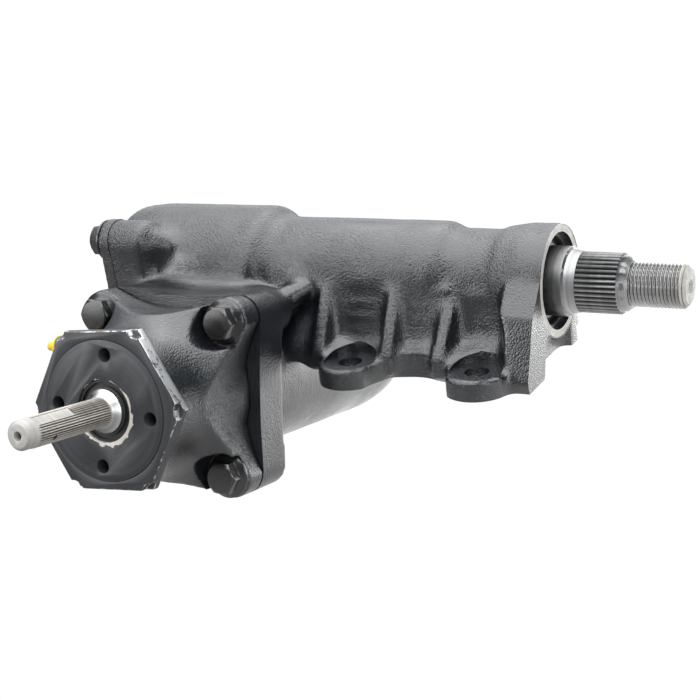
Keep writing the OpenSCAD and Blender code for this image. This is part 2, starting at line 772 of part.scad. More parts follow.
module sector_seal() {
  color([0.05, 0.05, 0.05]) on_sector(seal_x) difference() {
    cylinder(r = seal_r, h = seal_t);
    translate([0, 0, -over]) cylinder(r = journal_r + run_clear, h = seal_t + 2 * over);
    translate([0, 0, seal_t - 2]) ring(journal_r + 1.5, seal_r - 1.6, 3);
  }
}

module seal_snap_ring() {
  gap_w = 10;
  color([0.55, 0.55, 0.56]) on_sector(seal_x + seal_t + snap_play / 2) difference() {
    ring(seal_r - 2.2, seal_r + snap_bite - snap_play, snap_t);
    rotate(100) translate([0, -gap_w / 2, -over]) cube([seal_r + 5, gap_w, snap_t + 2 * over]);
  }
}

module port_cap(s, tab_len) {
  plug_depth = port_depth - 4;
  color([0.90, 0.72, 0.10]) on_worm(-valve_joint) translate([0, s * port_z, port_y]) rotate([0, -90, 0]) {
    translate([0, 0, port_reach - plug_depth])
      cylinder(r = port_hole_r - seat_clear, h = plug_depth + over);
    translate([0, 0, port_reach]) cylinder(r = port_cap_r, h = port_cap_t);
    translate([0, 0, port_reach]) cylinder(r = cap_tab_r, h = port_cap_t + tab_len);
  }
}

module pressure_port_cap() { port_cap(1, cap_tab_len); }
module return_port_cap() { port_cap(-1, 1); }

module sector_shaft() {
  neck_out_r = spline_r - spline_depth - 0.3;
  spline_chamfer = 1.5;
  tail = sector_len - spline_end;
  centre_hole_r = 1.8;
  centre_cone = 4.4;
  color([0.60, 0.60, 0.60]) difference() {
    union() {
      on_sector(-sector_w / 2) linear_extrude(height = sector_w) sector_outline();
      on_sector(0) rotate_extrude() polygon([[0, journal_end], [cover_journal_r - 1, journal_end],
        [cover_journal_r, journal_end + 1], [cover_journal_r, 0], [journal_r, 0],
        [journal_r, spline_x - spline_chamfer], [spline_r + 0.5, spline_x], [0, spline_x]]);
      on_sector(spline_x - over) serrated(spline_r, spline_depth, spline_n, spline_len + over);
      on_sector(spline_end) rotate_extrude() polygon([[0, -over], [neck_out_r, -over], [neck_out_r, 3],
        [thread_r, thread_neck], [thread_r, tail - thread_chamfer], [thread_r - 2.2, tail], [0, tail]]);
    }
    on_sector(journal_end - over) cylinder(r = screw_head_r + 0.3, h = screw_head_t + 1.6);
    on_sector(sector_len - 2 * centre_cone)
      cylinder(r = centre_hole_r, h = 2 * centre_cone + over, $fn = 32);
    on_sector(sector_len - centre_cone + 0.4)
      cylinder(r1 = 0, r2 = centre_cone, h = centre_cone, $fn = 32);
  }
}

module ball_nut_piston() {
  color([0.42, 0.42, 0.43]) on_worm(piston_rear) difference() {
    cylinder(r = piston_r, h = piston_rear + piston_front);
    translate([0, 0, piston_rear]) {
      translate([-piston_r, rack_tip, -rack_half]) cube([2 * piston_r, piston_r, 2 * rack_half]);
      for (i = [-1:1]) translate([-piston_r, 0, i * rack_pitch]) rotate([90, 0, 90])
        linear_extrude(height = 2 * piston_r) rack_space();
      translate([0, 0, piston_crown_t - piston_rear])
        cylinder(r = nut_bore_r, h = piston_rear + piston_front);
      helix(-groove_rear, groove_rear + groove_front, nut_section);
      translate([-guide_pocket_x, -piston_r - over, guide_pocket_z[0]])
        cube([2 * guide_pocket_x, piston_r + over + guide_pocket_y, guide_pocket_z[1] - guide_pocket_z[0]]);
      guide_legs(guide_r + seat_clear);
    }
    translate([0, 0, piston_rear - piston_ring_y - piston_ring_w / 2])
      ring(piston_r - piston_ring_t, piston_r + over, piston_ring_w);
  }
}

module rack_space() {
  half = rack_pitch / 4;
  slope = tan(pressure_angle);
  top = rack_addendum + 3;
  deep = sector_addendum + tooth_root_gap;
  translate([rack_line, 0]) polygon([[top, half + top * slope], [top, -half - top * slope],
    [-deep, -half + deep * slope], [-deep, half - deep * slope]]);
}

module guide_leg_places() {
  for (a = [ball_start, ball_start + ball_turn])
    translate([ball_circle_r * cos(a), 0, worm_lead * a / 360]) children();
}

module guide_legs(r) { guide_leg_places() rotate([90, 0, 0]) cylinder(r = r, h = -guide_y); }

module return_guide() {
  start_z = worm_lead * ball_start / 360;
  end_z = worm_lead * (ball_start + ball_turn) / 360;
  span = norm([2 * ball_circle_r, end_z - start_z]);
  module run(r) {
    guide_leg_places() translate([0, guide_y, 0]) sphere(r = r + guide_bulge, $fn = 48);
    translate([ball_circle_r, guide_y, start_z]) rotate([0, atan2(-2 * ball_circle_r, end_z - start_z), 0])
      cylinder(r = r, h = span);
  }
  color([0.7, 0.7, 0.7]) on_worm(0) difference() {
    union() {
      run(guide_r);
      guide_leg_places() translate([0, guide_y, 0]) rotate([-90, 0, 0])
        cylinder(r = guide_r, h = -guide_y + guide_pocket_y + guide_seat);
    }
    run(ball_d / 2 + guide_ball_clear);
    guide_legs(ball_d / 2 + guide_ball_clear);
  }
}

module nut_balls() {
  n = floor(ball_turn / 360 * balls_per_turn);
  color("gainsboro") on_worm(0) for (i = [0:n]) let (a = ball_start + ball_turn * i / n)
    translate([ball_circle_r * cos(a), ball_circle_r * sin(a), worm_lead * a / 360])
      sphere(d = ball_d, $fn = 32);
}

module piston_seal_ring() {
  side_play = 0.1;
  color([0.12, 0.12, 0.12]) on_worm(piston_ring_y + (piston_ring_w - side_play) / 2)
    ring(piston_r - piston_ring_t + seat_clear, cylinder_bore_r - 0.01, piston_ring_w - side_play);
}

module worm_shaft() {
  color([0.5, 0.5, 0.5]) on_worm(0) difference() {
    union() {
      helix(-worm_rear, worm_rear + worm_front, worm_section);
      translate([0, 0, -worm_rear - 4]) cylinder(r1 = worm_r - 5, r2 = worm_r - 4, h = 5);
      translate([0, 0, worm_front - 0.5]) cylinder(r = worm_r - 0.2, h = valve_joint - worm_front);
      translate([0, 0, valve_joint - 2]) cylinder(r = inner_race_r, h = flange_front - valve_joint);
      translate([0, 0, flange_front - 3]) cylinder(r = sleeve_out_r - 2, h = 3);
    }
    translate([0, 0, bar_rear]) cylinder(r = bar_r + run_clear, h = flange_front);
  }
}

module worm_inner_race() {
  color("silver") on_worm(-valve_joint - 1) difference() {
    ring(inner_race_r + seat_clear, rear_ball_circle_r - 2, rear_race_t);
    translate([0, 0, rear_race_t / 2]) torus(rear_ball_circle_r, rear_ball_r + 2 * run_clear);
  }
}

module valve_sleeve() {
  port_start = sleeve_land + (sleeve_ring_w + sleeve_pitch) / 2;
  color([0.55, 0.52, 0.45]) on_worm(-flange_front) difference() {
    ring(sleeve_in_r, sleeve_out_r, sleeve_len);
    for (i = [0:3]) translate([0, 0, sleeve_land + i * sleeve_pitch])
      ring(sleeve_out_r - sleeve_ring_depth, sleeve_out_r + over, sleeve_ring_w);
    for (i = [0:2], a = [0:90:270]) rotate(a + 30 * i) translate([0, 0, port_start + i * sleeve_pitch])
      rotate([0, 90, 0]) cylinder(r = 1.6, h = sleeve_out_r + over, $fn = 24);
  }
}

module sleeve_rings() {
  side_play = 0.1;
  color([0.75, 0.73, 0.66]) on_worm(-flange_front) for (i = [0:3])
    translate([0, 0, sleeve_land + side_play / 2 + i * sleeve_pitch])
      ring(sleeve_out_r - sleeve_ring_depth + seat_clear, valve_bore_r - run_clear,
        sleeve_ring_w - side_play);
}

module input_shaft() {
  serration_end = input_len - 8;
  serration_depth = 0.75;
  shoulder_len = 3.5;
  shoulder = shoulder_len - plug_face - flange_front;
  serration_len = serration_end - flange_front - shoulder;
  collar_r = input_r - 0.3;
  collar_len = input_len - serration_end;
  collar_chamfer = 1.6;
  spool_len = sleeve_len - 1;
  spool_end = 6;
  flat_start = 27;
  centre_hole_r = 2.4;
  color([0.62, 0.62, 0.62]) on_worm(-flange_front) difference() {
    union() {
      translate([0, 0, 0.5]) cylinder(r = sleeve_in_r - run_clear, h = spool_len);
      translate([0, 0, 1]) cylinder(r = stub_r, h = shoulder - shoulder_len - 1);
      translate([0, 0, shoulder - shoulder_len])
        cylinder(r1 = stub_r, r2 = input_r + 0.4, h = shoulder_len);
      translate([0, 0, shoulder - over]) serrated(input_r, serration_depth, input_n, serration_len + over);
      translate([0, 0, serration_end - flange_front]) rotate_extrude()
        polygon([[0, -over], [collar_r, -over], [collar_r, collar_len - collar_chamfer],
          [collar_r - collar_chamfer, collar_len], [0, collar_len]]);
    }
    translate([0, 0, -over]) cylinder(r = bar_r + seat_clear, h = bar_front - flange_front + over);
    translate([-input_r, input_r - 1, shoulder + flat_start])
      cube([2 * input_r, 2, serration_len - flat_start]);
    for (a = [0:60:300]) rotate(a) translate([sleeve_in_r, 0, spool_end])
      cylinder(r = 2.2, h = spool_len - 2 * spool_end, $fn = 24);
    translate([0, 0, input_len - flange_front - 7]) cylinder(r = centre_hole_r, h = 7 + over, $fn = 32);
    translate([0, 0, bar_front - pin_set - flange_front]) pin_rod(torsion_pin_r + seat_clear, 2 * stub_r);
  }
}

// Rod across the shaft, centred on its axis
module pin_rod(r, h) { translate([-h / 2, 0, 0]) rotate([0, 90, 0]) cylinder(r = r, h = h, $fn = 24); }

module torsion_bar() {
  end_len = 14;
  taper = 4;
  waist = bar_r - 1.5;
  bar_len = bar_front - bar_rear;
  end_gap = 0.5;
  color([0.4, 0.4, 0.42]) on_worm(-bar_rear - end_gap) difference() {
    rotate_extrude() polygon([[0, 0], [bar_r, 0], [bar_r, end_len], [waist, end_len + taper],
      [waist, bar_len - end_len - taper], [bar_r, bar_len - end_len], [bar_r, bar_len - end_gap],
      [0, bar_len - end_gap]]);
    translate([0, 0, bar_len - pin_set - end_gap]) pin_rod(torsion_pin_r + seat_clear, 2 * stub_r);
  }
}

module torsion_pin() {
  end_inset = 1.2;
  color("silver") on_worm(-bar_front + pin_set) pin_rod(torsion_pin_r, 2 * (input_r - end_inset));
}

gear_housing();
valve_housing();
valve_joint_seal();
valve_bolts();
bearing_plug();
plug_lock_nut();
input_seal();
input_needle_shell();
input_needles();
worm_outer_race();
worm_bearing_balls();
side_cover();
side_cover_seal();
side_cover_bolts();
cover_needle_shell();
cover_needles();
adjusting_screw();
adjusting_lock_nut();
inner_needle_shell();
inner_needles();
outer_needle_shell();
outer_needles();
sector_seal();
seal_snap_ring();
pressure_port_cap();
return_port_cap();
sector_shaft();
ball_nut_piston();
return_guide();
nut_balls();
piston_seal_ring();
worm_shaft();
worm_inner_race();
valve_sleeve();
sleeve_rings();
input_shaft();
torsion_bar();
torsion_pin();
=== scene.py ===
import math

import bpy
from mathutils import Matrix, Vector


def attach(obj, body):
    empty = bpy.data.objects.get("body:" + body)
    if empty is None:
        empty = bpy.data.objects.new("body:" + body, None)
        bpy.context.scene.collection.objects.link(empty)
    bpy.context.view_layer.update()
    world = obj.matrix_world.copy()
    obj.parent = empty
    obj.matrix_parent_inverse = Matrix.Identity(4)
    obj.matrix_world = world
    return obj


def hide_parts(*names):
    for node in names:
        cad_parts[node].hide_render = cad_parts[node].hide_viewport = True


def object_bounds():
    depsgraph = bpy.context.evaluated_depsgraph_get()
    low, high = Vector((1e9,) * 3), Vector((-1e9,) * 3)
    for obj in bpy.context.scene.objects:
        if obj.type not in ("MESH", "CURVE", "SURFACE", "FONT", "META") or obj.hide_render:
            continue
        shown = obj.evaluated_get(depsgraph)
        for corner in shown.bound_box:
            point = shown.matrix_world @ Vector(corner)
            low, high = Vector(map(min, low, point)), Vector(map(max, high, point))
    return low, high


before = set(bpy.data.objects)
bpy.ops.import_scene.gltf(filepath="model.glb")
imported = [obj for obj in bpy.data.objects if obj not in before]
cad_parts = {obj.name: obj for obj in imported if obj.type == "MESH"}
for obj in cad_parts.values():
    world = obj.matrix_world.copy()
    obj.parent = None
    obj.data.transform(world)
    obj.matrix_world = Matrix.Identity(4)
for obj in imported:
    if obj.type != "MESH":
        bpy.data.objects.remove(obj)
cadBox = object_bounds()
mm = 0.001
print("frame loaded,", len(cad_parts), "nodes")

# places below are in mm from the point of the sector axis above the worm axis
gearCentre = Vector((-256, 0, 0))
wormHeight = -63.0
mountTurn = Matrix.Rotation(math.radians(12), 3, "X")
mountUp = mountTurn @ Vector((0, 0, 1))

weld = 2e-6  # m, points closer than this are one
onFace = 0.05 * mm  # a point this near a plane lies on it
hair = 0.01 * mm


def place(point):
    return (Vector(point) + gearCentre) * mm


def onMount(x, y, z):
    return mountTurn @ Vector((x, y, z))


# handling

def deselectAll():
    if bpy.context.object and bpy.context.object.mode != "OBJECT":
        bpy.ops.object.mode_set(mode="OBJECT")
    bpy.ops.object.select_all(action="DESELECT")


def pick(piece):
    deselectAll()
    piece.hide_set(False)
    piece.select_set(True)
    bpy.context.view_layer.objects.active = piece


def freeze(piece):
    pick(piece)
    bpy.ops.object.transform_apply(location=True, rotation=True, scale=True)


def applyModifier(piece, kind, **values):
    pick(piece)
    modifier = piece.modifiers.new(kind.title(), kind)
    for key, value in values.items():
        setattr(modifier, key, value)
    bpy.ops.object.modifier_apply(modifier=modifier.name)


def joinInto(piece, others):
    pick(piece)
    for other in others:
        other.select_set(True)
    bpy.ops.object.join()
    return piece


def selectWhere(piece, test):
    pick(piece)
    for polygon in piece.data.polygons:
        polygon.select = False
    for edge in piece.data.edges:
        edge.select = False
    for vertex in piece.data.vertices:
        vertex.select = test(vertex.co)
    bpy.ops.object.mode_set(mode="EDIT")
    bpy.ops.mesh.select_mode(type="VERT")


def copyNode(node, name):
    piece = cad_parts[node].copy()
    piece.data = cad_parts[node].data.copy()
    piece.name = piece.data.name = name
    bpy.context.collection.objects.link(piece)
    piece.parent = None
    piece.matrix_world = Matrix.Identity(4)
    piece.data.materials.clear()
    pick(piece)
    bpy.ops.object.mode_set(mode="EDIT")
    bpy.ops.mesh.select_all(action="SELECT")
    bpy.ops.mesh.remove_doubles(threshold=weld)
    bpy.ops.object.mode_set(mode="OBJECT")
    return piece


def keepSide(piece, point, normal):
    pick(piece)
    bpy.ops.object.mode_set(mode="EDIT")
    bpy.ops.mesh.select_all(action="SELECT")
    bpy.ops.mesh.bisect(plane_co=place(point), plane_no=normal, clear_inner=True, use_fill=True)
    bpy.ops.object.mode_set(mode="OBJECT")
    return piece


def smoothByAngle(piece, degrees):
    pick(piece)
    bpy.ops.object.shade_smooth_by_angle(angle=math.radians(degrees))


def addRod(radius, start, end, sides=64, tip=None):
    start, end = place(start), place(end)
    turn = (end - start).to_track_quat("Z", "Y").to_euler()
    far = radius if tip is None else tip
    deselectAll()
    bpy.ops.mesh.primitive_cone_add(vertices=sides, radius1=radius * mm, radius2=far * mm,
                                    depth=(end - start).length, location=(start + end) / 2, rotation=turn)
    freeze(bpy.context.object)
    return bpy.context.object


def addSlab(point, normal, reach, depth):
    deselectAll()
    bpy.ops.mesh.primitive_cube_add(size=1)
    slab = bpy.context.object
    slab.scale = Vector((2 * reach, 2 * reach, depth)) * mm
    freeze(slab)
    facing = Vector(normal).to_track_quat("Z", "Y").to_matrix().to_4x4()
    slab.data.transform(Matrix.Translation(place(point) + Vector(normal) * depth / 2 * mm) @ facing)
    return slab


def cutWith(piece, cutters):
    for cutter in cutters:
        applyModifier(piece, "BOOLEAN", operation="DIFFERENCE", object=cutter, solver="MANIFOLD")
        bpy.data.objects.remove(cutter)


def finishPiece(piece, body, slot, *nodes):
    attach(piece, body)
    if nodes:
        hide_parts(*nodes)
    return piece


def finishNode(name, material):
    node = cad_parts[name]
    node.material_slots[0].link = "OBJECT"
    node.material_slots[0].material = material


# camera

cameraSetup = {
    "place": (467.53, -739.32, 88.72),  # mm
    "turn": 28.366,
    "height": 9.2065,
    "roll": -0.581,
    "lens": 73.28,
    "sensor": 36,
    "clip": (0.02, 200),  # m
}


def addCamera(setup):
    turn, height, roll = (math.radians(setup[key]) for key in ("turn", "height", "roll"))
    back = Vector((math.sin(turn) * math.cos(height), -math.cos(turn) * math.cos(height), math.sin(height)))
    level = Vector((math.cos(turn), math.sin(turn), 0))
    upright = back.cross(level)
    right = level * math.cos(roll) + upright * math.sin(roll)
    up = upright * math.cos(roll) - level * math.sin(roll)
    deselectAll()
    bpy.ops.object.camera_add()
    camera = bpy.context.object
    stand = Matrix((right, up, back)).transposed().to_4x4()
    stand.translation = place(setup["place"])
    camera.matrix_world = stand
    camera.data.lens = setup["lens"]
    camera.data.sensor_width = setup["sensor"]
    camera.data.clip_start, camera.data.clip_end = setup["clip"]
    bpy.context.scene.camera = camera


addCamera(cameraSetup)
bpy.context.scene.view_settings.view_transform = "Standard"
print("camera placed")


# material tools

def newTree(name):
    material = bpy.data.materials.new(name)
    material.use_nodes = True
    tree = material.node_tree
    return material, tree, tree.nodes["Principled BSDF"]


def addNode(tree, kind, **values):
    node = tree.nodes.new(kind)
    for key, value in values.items():
        if key in node.inputs:
            node.inputs[key].default_value = value
        else:
            setattr(node, key, value)
    return node


def newGroup(name, inputs, outputs):
    group = bpy.data.node_groups.new(name, "ShaderNodeTree")
    for label, value in inputs.items():
        kind = "NodeSocketFloat" if isinstance(value, float) else "NodeSocketVector"
        socket = group.interface.new_socket(label, in_out="INPUT", socket_type=kind)
        if isinstance(value, float):
            socket.default_value = value
    for label in outputs:
        group.interface.new_socket(label, in_out="OUTPUT", socket_type="NodeSocketFloat")
    return group, group.nodes.new("NodeGroupInput"), group.nodes.new("NodeGroupOutput")


def placeGroup(tree, group, **values):
    node = tree.nodes.new("ShaderNodeGroup")
    node.node_tree = group
    for key, value in values.items():
        node.inputs[key].default_value = value
    return node


def ramp(tree, source, stops):
    node = tree.nodes.new("ShaderNodeValToRGB")
    elements = node.color_ramp.elements
    while len(elements) < len(stops):
        elements.new(0.5)
    for element, (spot, value) in zip(elements, stops):
        element.position = spot
        element.color = (*value, 1)
    tree.links.new(source, node.inputs[0])
    return node.outputs["Color"]


def mathNode(tree, operation, first, second):
    node = tree.nodes.new("ShaderNodeMath")
    node.operation = operation
    for socket, value in zip(node.inputs, (first, second)):
        if isinstance(value, (int, float)):
            socket.default_value = value
        else:
            tree.links.new(value, socket)
    return node.outputs[0]


def rescale(tree, source, low, high, start, end):
    node = addNode(tree, "ShaderNodeMapRange")
    for label, value in (("From Min", low), ("From Max", high), ("To Min", start), ("To Max", end)):
        node.inputs[label].default_value = value
    tree.links.new(source, node.inputs["Value"])
    return node.outputs[0]


def mixColours(tree, blend, factor, first, second):
    node = addNode(tree, "ShaderNodeMix", data_type="RGBA", blend_type=blend)
    for label, value in (("Factor", factor), ("A", first), ("B", second)):
        socket = next(entry for entry in node.inputs if entry.name == label and entry.enabled)
        if isinstance(value, (float, tuple)):
            socket.default_value = value
        else:
            tree.links.new(value, socket)
    return next(entry for entry in node.outputs if entry.enabled)


# dried sealant round a bore, wider towards one side and ragged at its edge
def addSmear(tree, where, radius, colour, setup):
    ragged = addNode(tree, "ShaderNodeTexNoise", Scale=setup["scale"], Detail=3.0)
    tree.links.new(where, ragged.inputs["Vector"])
    parts = addNode(tree, "ShaderNodeSeparateXYZ")
    tree.links.new(where, parts.inputs[0])
    side = mathNode(tree, "SUBTRACT", parts.outputs["X"], parts.outputs["Y"])
    span, rough, fade = (setup[key] * mm for key in ("span", "rough", "fade"))
    narrow, wide = (value * mm for value in setup["reach"])
    even = rescale(tree, side, -span, span, narrow, wide)
    uneven = rescale(tree, ragged.outputs["Fac"], 0.3, 0.7, -rough, rough)
    reach = mathNode(tree, "ADD", even, uneven)
    mask = rescale(tree, mathNode(tree, "SUBTRACT", reach, radius), 0.0, fade, 0.0, 1.0)
    return mixColours(tree, "MIX", mask, colour, (*setup["tone"], 1.0))


def addRelief(tree, shader, height, strength, depth):
    relief = addNode(tree, "ShaderNodeBump", Strength=strength, Distance=depth * mm)
    tree.links.new(height, relief.inputs["Height"])
    tree.links.new(relief.outputs["Normal"], shader.inputs["Normal"])


def grey(value):
    return (value, value, value)


# shared effects

def makeCastSkin():
    inputs = {"Grain": 420.0, "Patch": 26.0}
    group, source, result = newGroup("castSkin", inputs, ("Height", "Gloss", "Patch"))
    links = group.links
    where = addNode(group, "ShaderNodeTexCoord").outputs["Object"]
    grain = addNode(group, "ShaderNodeTexNoise", Detail=3.0, Roughness=0.55)
    pebble = addNode(group, "ShaderNodeTexVoronoi", feature="SMOOTH_F1", Smoothness=0.6)
    patch = addNode(group, "ShaderNodeTexNoise", Detail=2.0)
    for node, label in ((grain, "Grain"), (pebble, "Grain"), (patch, "Patch")):
        links.new(where, node.inputs["Vector"])
        links.new(source.outputs[label], node.inputs["Scale"])
    strong = rescale(group, patch.outputs["Fac"], 0.35, 0.65, 0.35, 1.0)
    pile = mathNode(group, "SUBTRACT", grain.outputs["Fac"], pebble.outputs["Distance"])
    links.new(mathNode(group, "MULTIPLY", pile, strong), result.inputs["Height"])
    links.new(rescale(group, patch.outputs["Fac"], 0.3, 0.7, 0.0, 1.0), result.inputs["Gloss"])
    links.new(strong, result.inputs["Patch"])
    return group


def makeTurnedMarks():
    inputs = {"Where": None, "Fine": 1500.0}
    group, source, result = newGroup("turnedMarks", inputs, ("Height", "Tone", "Radius"))
    links = group.links
    parts = addNode(group, "ShaderNodeSeparateXYZ")
    links.new(source.outputs["Where"], parts.inputs[0])
    across = mathNode(group, "ADD", mathNode(group, "POWER", parts.outputs["X"], 2),
                      mathNode(group, "POWER", parts.outputs["Y"], 2))
    radius = mathNode(group, "SQRT", across, 0)
    sums = []
    for share in (1.0, 0.23):  # close lines for the relief, broad ones for the tone
        lines = []
        for along in (parts.outputs["Z"], radius):
            noise = addNode(group, "ShaderNodeTexNoise", noise_dimensions="1D", Detail=2.0)
            fine = mathNode(group, "MULTIPLY", source.outputs["Fine"], share)
            links.new(mathNode(group, "MULTIPLY", along, fine), noise.inputs["W"])
            noise.inputs["Scale"].default_value = 1.0
            lines.append(noise.outputs["Fac"])
        sums.append(mathNode(group, "ADD", lines[0], lines[1]))
    links.new(sums[0], result.inputs["Height"])
    links.new(rescale(group, sums[1], 0.7, 1.3, 0.0, 1.0), result.inputs["Tone"])
    links.new(radius, result.inputs["Radius"])
    return group


def makeScuffs():
    group, source, result = newGroup("scuffs", {"Scale": 300.0, "Amount": 0.5}, ("Mask", "Grime"))
    links = group.links
    where = addNode(group, "ShaderNodeTexCoord").outputs["Object"]
    chips = addNode(group, "ShaderNodeTexNoise", Detail=5.0, Roughness=0.7)
    links.new(where, chips.inputs["Vector"])
    links.new(source.outputs["Scale"], chips.inputs["Scale"])
    bareFrom = mathNode(group, "SUBTRACT", 1.0, source.outputs["Amount"])
    edge = mathNode(group, "SUBTRACT", chips.outputs["Fac"], bareFrom)
    links.new(rescale(group, edge, 0.0, 0.05, 0.0, 1.0), result.inputs["Mask"])
    dirt = addNode(group, "ShaderNodeTexNoise", Detail=4.0)
    links.new(where, dirt.inputs["Vector"])
    links.new(mathNode(group, "MULTIPLY", source.outputs["Scale"], 0.15), dirt.inputs["Scale"])
    links.new(rescale(group, dirt.outputs["Fac"], 0.3, 0.7, 0.0, 1.0), result.inputs["Grime"])
    return group


castSkin = makeCastSkin()
turnedMarks = makeTurnedMarks()
scuffs = makeScuffs()


# materials

castDepth = 0.6  # mm of relief at full strength
fineDepth = 0.2


def castPaint(name, setup):
    material, tree, shader = newTree(name)
    skin = placeGroup(tree, castSkin, Grain=setup["grain"])
    low, high = setup["tone"]
    colour = ramp(tree, skin.outputs["Patch"], [(0.2, low), (1.0, high)])
    tree.links.new(colour, shader.inputs["Base Color"])
    glossy, dull = setup["gloss"]
    tree.links.new(rescale(tree, skin.outputs["Gloss"], 0, 1, glossy, dull), shader.inputs["Roughness"])
    addRelief(tree, shader, skin.outputs["Height"], setup["bump"], castDepth)
    shader.inputs["Specular IOR Level"].default_value = setup["shine"]
    return material


def turnedMetal(name, setup):
    material, tree, shader = newTree(name)
    axis = addNode(tree, "ShaderNodeMapping", vector_type="TEXTURE",
                   Location=setup["axisAt"], Rotation=setup["axisTurn"])
    tree.links.new(addNode(tree, "ShaderNodeTexCoord").outputs["Object"], axis.inputs["Vector"])
    marks = placeGroup(tree, turnedMarks, Fine=setup["fine"])
    tree.links.new(axis.outputs[0], marks.inputs["Where"])
    worn = placeGroup(tree, scuffs, Scale=setup["scuffScale"], Amount=setup["scuffs"])
    low, high = setup["tone"]
    base = ramp(tree, marks.outputs["Tone"], [(0.0, low), (1.0, high)])
    dirt = ramp(tree, worn.outputs["Grime"], [(0.0, grey(0.35)), (0.8, grey(1.0))])
    colour = mixColours(tree, "MULTIPLY", setup["grime"], base, dirt)
    if "rootShade" in setup:  # painted shade: dark between teeth, from this radius to that
        root, crest = setup["rootShade"]
        depth = rescale(tree, marks.outputs["Radius"], root * mm, crest * mm, 0.0, 1.0)
        shade = ramp(tree, depth, [(0.0, grey(0.02)), (0.55, grey(0.3)), (1.0, grey(1.0))])
        colour = mixColours(tree, "MULTIPLY", 1.0, colour, shade)
    if "smear" in setup:
        colour = addSmear(tree, axis.outputs[0], marks.outputs["Radius"], colour, setup["smear"])
    tree.links.new(colour, shader.inputs["Base Color"])
    glossy, dull = setup["gloss"]
    tree.links.new(rescale(tree, worn.outputs["Mask"], 0, 1, dull, glossy), shader.inputs["Roughness"])
    addRelief(tree, shader, marks.outputs["Height"], setup["bump"], fineDepth)
    shader.inputs["Metallic"].default_value = setup["metal"]
    return material


def chippedPaint(name, setup):
    material, tree, shader = newTree(name)
    worn = placeGroup(tree, scuffs, Scale=setup["scale"], Amount=setup["amount"])
    tone, gloss = setup["tone"], setup["gloss"]
    shade = ramp(tree, worn.outputs["Grime"], [(0.0, grey(tone * 0.7)), (1.0, grey(tone * 1.3))])
    colour = mixColours(tree, "MIX", worn.outputs["Mask"], shade, (*grey(setup["bare"]), 1.0))
    tree.links.new(colour, shader.inputs["Base Color"])
    tree.links.new(worn.outputs["Mask"], shader.inputs["Metallic"])
    rough = rescale(tree, worn.outputs["Grime"], 0, 1, gloss, gloss + 0.15)
    tree.links.new(rough, shader.inputs["Roughness"])
    addRelief(tree, shader, worn.outputs["Grime"], 0.15, fineDepth)
    return material


def softPlastic(name, setup):
    material, tree, shader = newTree(name)
    worn = placeGroup(tree, scuffs, Scale=setup["scale"], Amount=0.5)
    low, high = setup["tone"]
    colour = ramp(tree, worn.outputs["Grime"], [(0.0, low), (1.0, high)])
    tree.links.new(colour, shader.inputs["Base Color"])
    tree.links.new(rescale(tree, worn.outputs["Grime"], 0, 1, *setup["gloss"]), shader.inputs["Roughness"])
    addRelief(tree, shader, worn.outputs["Mask"], 0.08, fineDepth)
    return material


sectorAxis = {"axisAt": (0, 0, 0), "axisTurn": (0, math.radians(90), 0)}
wormAxis = {"axisAt": (gearCentre.x * mm, 0, wormHeight * mm), "axisTurn": (math.radians(90), 0, 0)}

blackCasting = castPaint("blackCasting", {
    "grain": 1050.0, "tone": ((0.0032, 0.0042, 0.0062), (0.0062, 0.0072, 0.0094)), "gloss": (0.17, 0.27),
    "bump": 0.65, "shine": 0.85})
boltBlack = castPaint("boltBlack", {
    "grain": 1400.0, "tone": (grey(0.004), grey(0.007)), "gloss": (0.16, 0.26),
    "bump": 0.08, "shine": 0.8})
machinedFace = turnedMetal("machinedFace", {
    **sectorAxis, "fine": 2200.0, "tone": ((0.26, 0.25, 0.23), (0.4, 0.385, 0.355)), "gloss": (0.5, 0.65),
    "bump": 0.3, "scuffScale": 900.0, "scuffs": 0.45, "grime": 0.6, "metal": 0.0})
shaftSteel = turnedMetal("shaftSteel", {
    **sectorAxis, "fine": 2600.0, "tone": (grey(0.16), grey(0.26)), "gloss": (0.28, 0.4),
    "bump": 0.1, "scuffScale": 240.0, "scuffs": 0.42, "grime": 0.55, "metal": 1.0})
# the shaft steel made lighter for the run-out cone: a painted highlight
shoulderHighlightSteel = turnedMetal("shoulderHighlightSteel", {
    **sectorAxis, "fine": 2600.0, "tone": (grey(0.28), grey(0.4)), "gloss": (0.34, 0.46),
    "bump": 0.12, "scuffScale": 240.0, "scuffs": 0.42, "grime": 0.5, "metal": 1.0})
# painted shade: the serration roots are darkened
serrationSteel = turnedMetal("serrationSteel", {
    **sectorAxis, "fine": 1400.0, "tone": (grey(0.3), grey(0.42)), "gloss": (0.32, 0.44),
    "bump": 0.1, "scuffScale": 500.0, "scuffs": 0.42, "grime": 0.4, "metal": 0.9, "rootShade": (15.2, 16.4)})
# painted shade: the thread roots are darkened
threadSteel = turnedMetal("threadSteel", {
    **sectorAxis, "fine": 1400.0, "tone": ((0.26, 0.25, 0.232), (0.37, 0.356, 0.333)), "gloss": (0.38, 0.5),
    "bump": 0.1, "scuffScale": 500.0, "scuffs": 0.42, "grime": 0.3, "metal": 0.6, "rootShade": (10.7, 11.8)})
stubSteel = turnedMetal("stubSteel", {
    **wormAxis, "fine": 2600.0, "tone": (grey(0.4), grey(0.55)), "gloss": (0.22, 0.34),
    "bump": 0.2, "scuffScale": 260.0, "scuffs": 0.42, "grime": 0.6, "metal": 1.0})
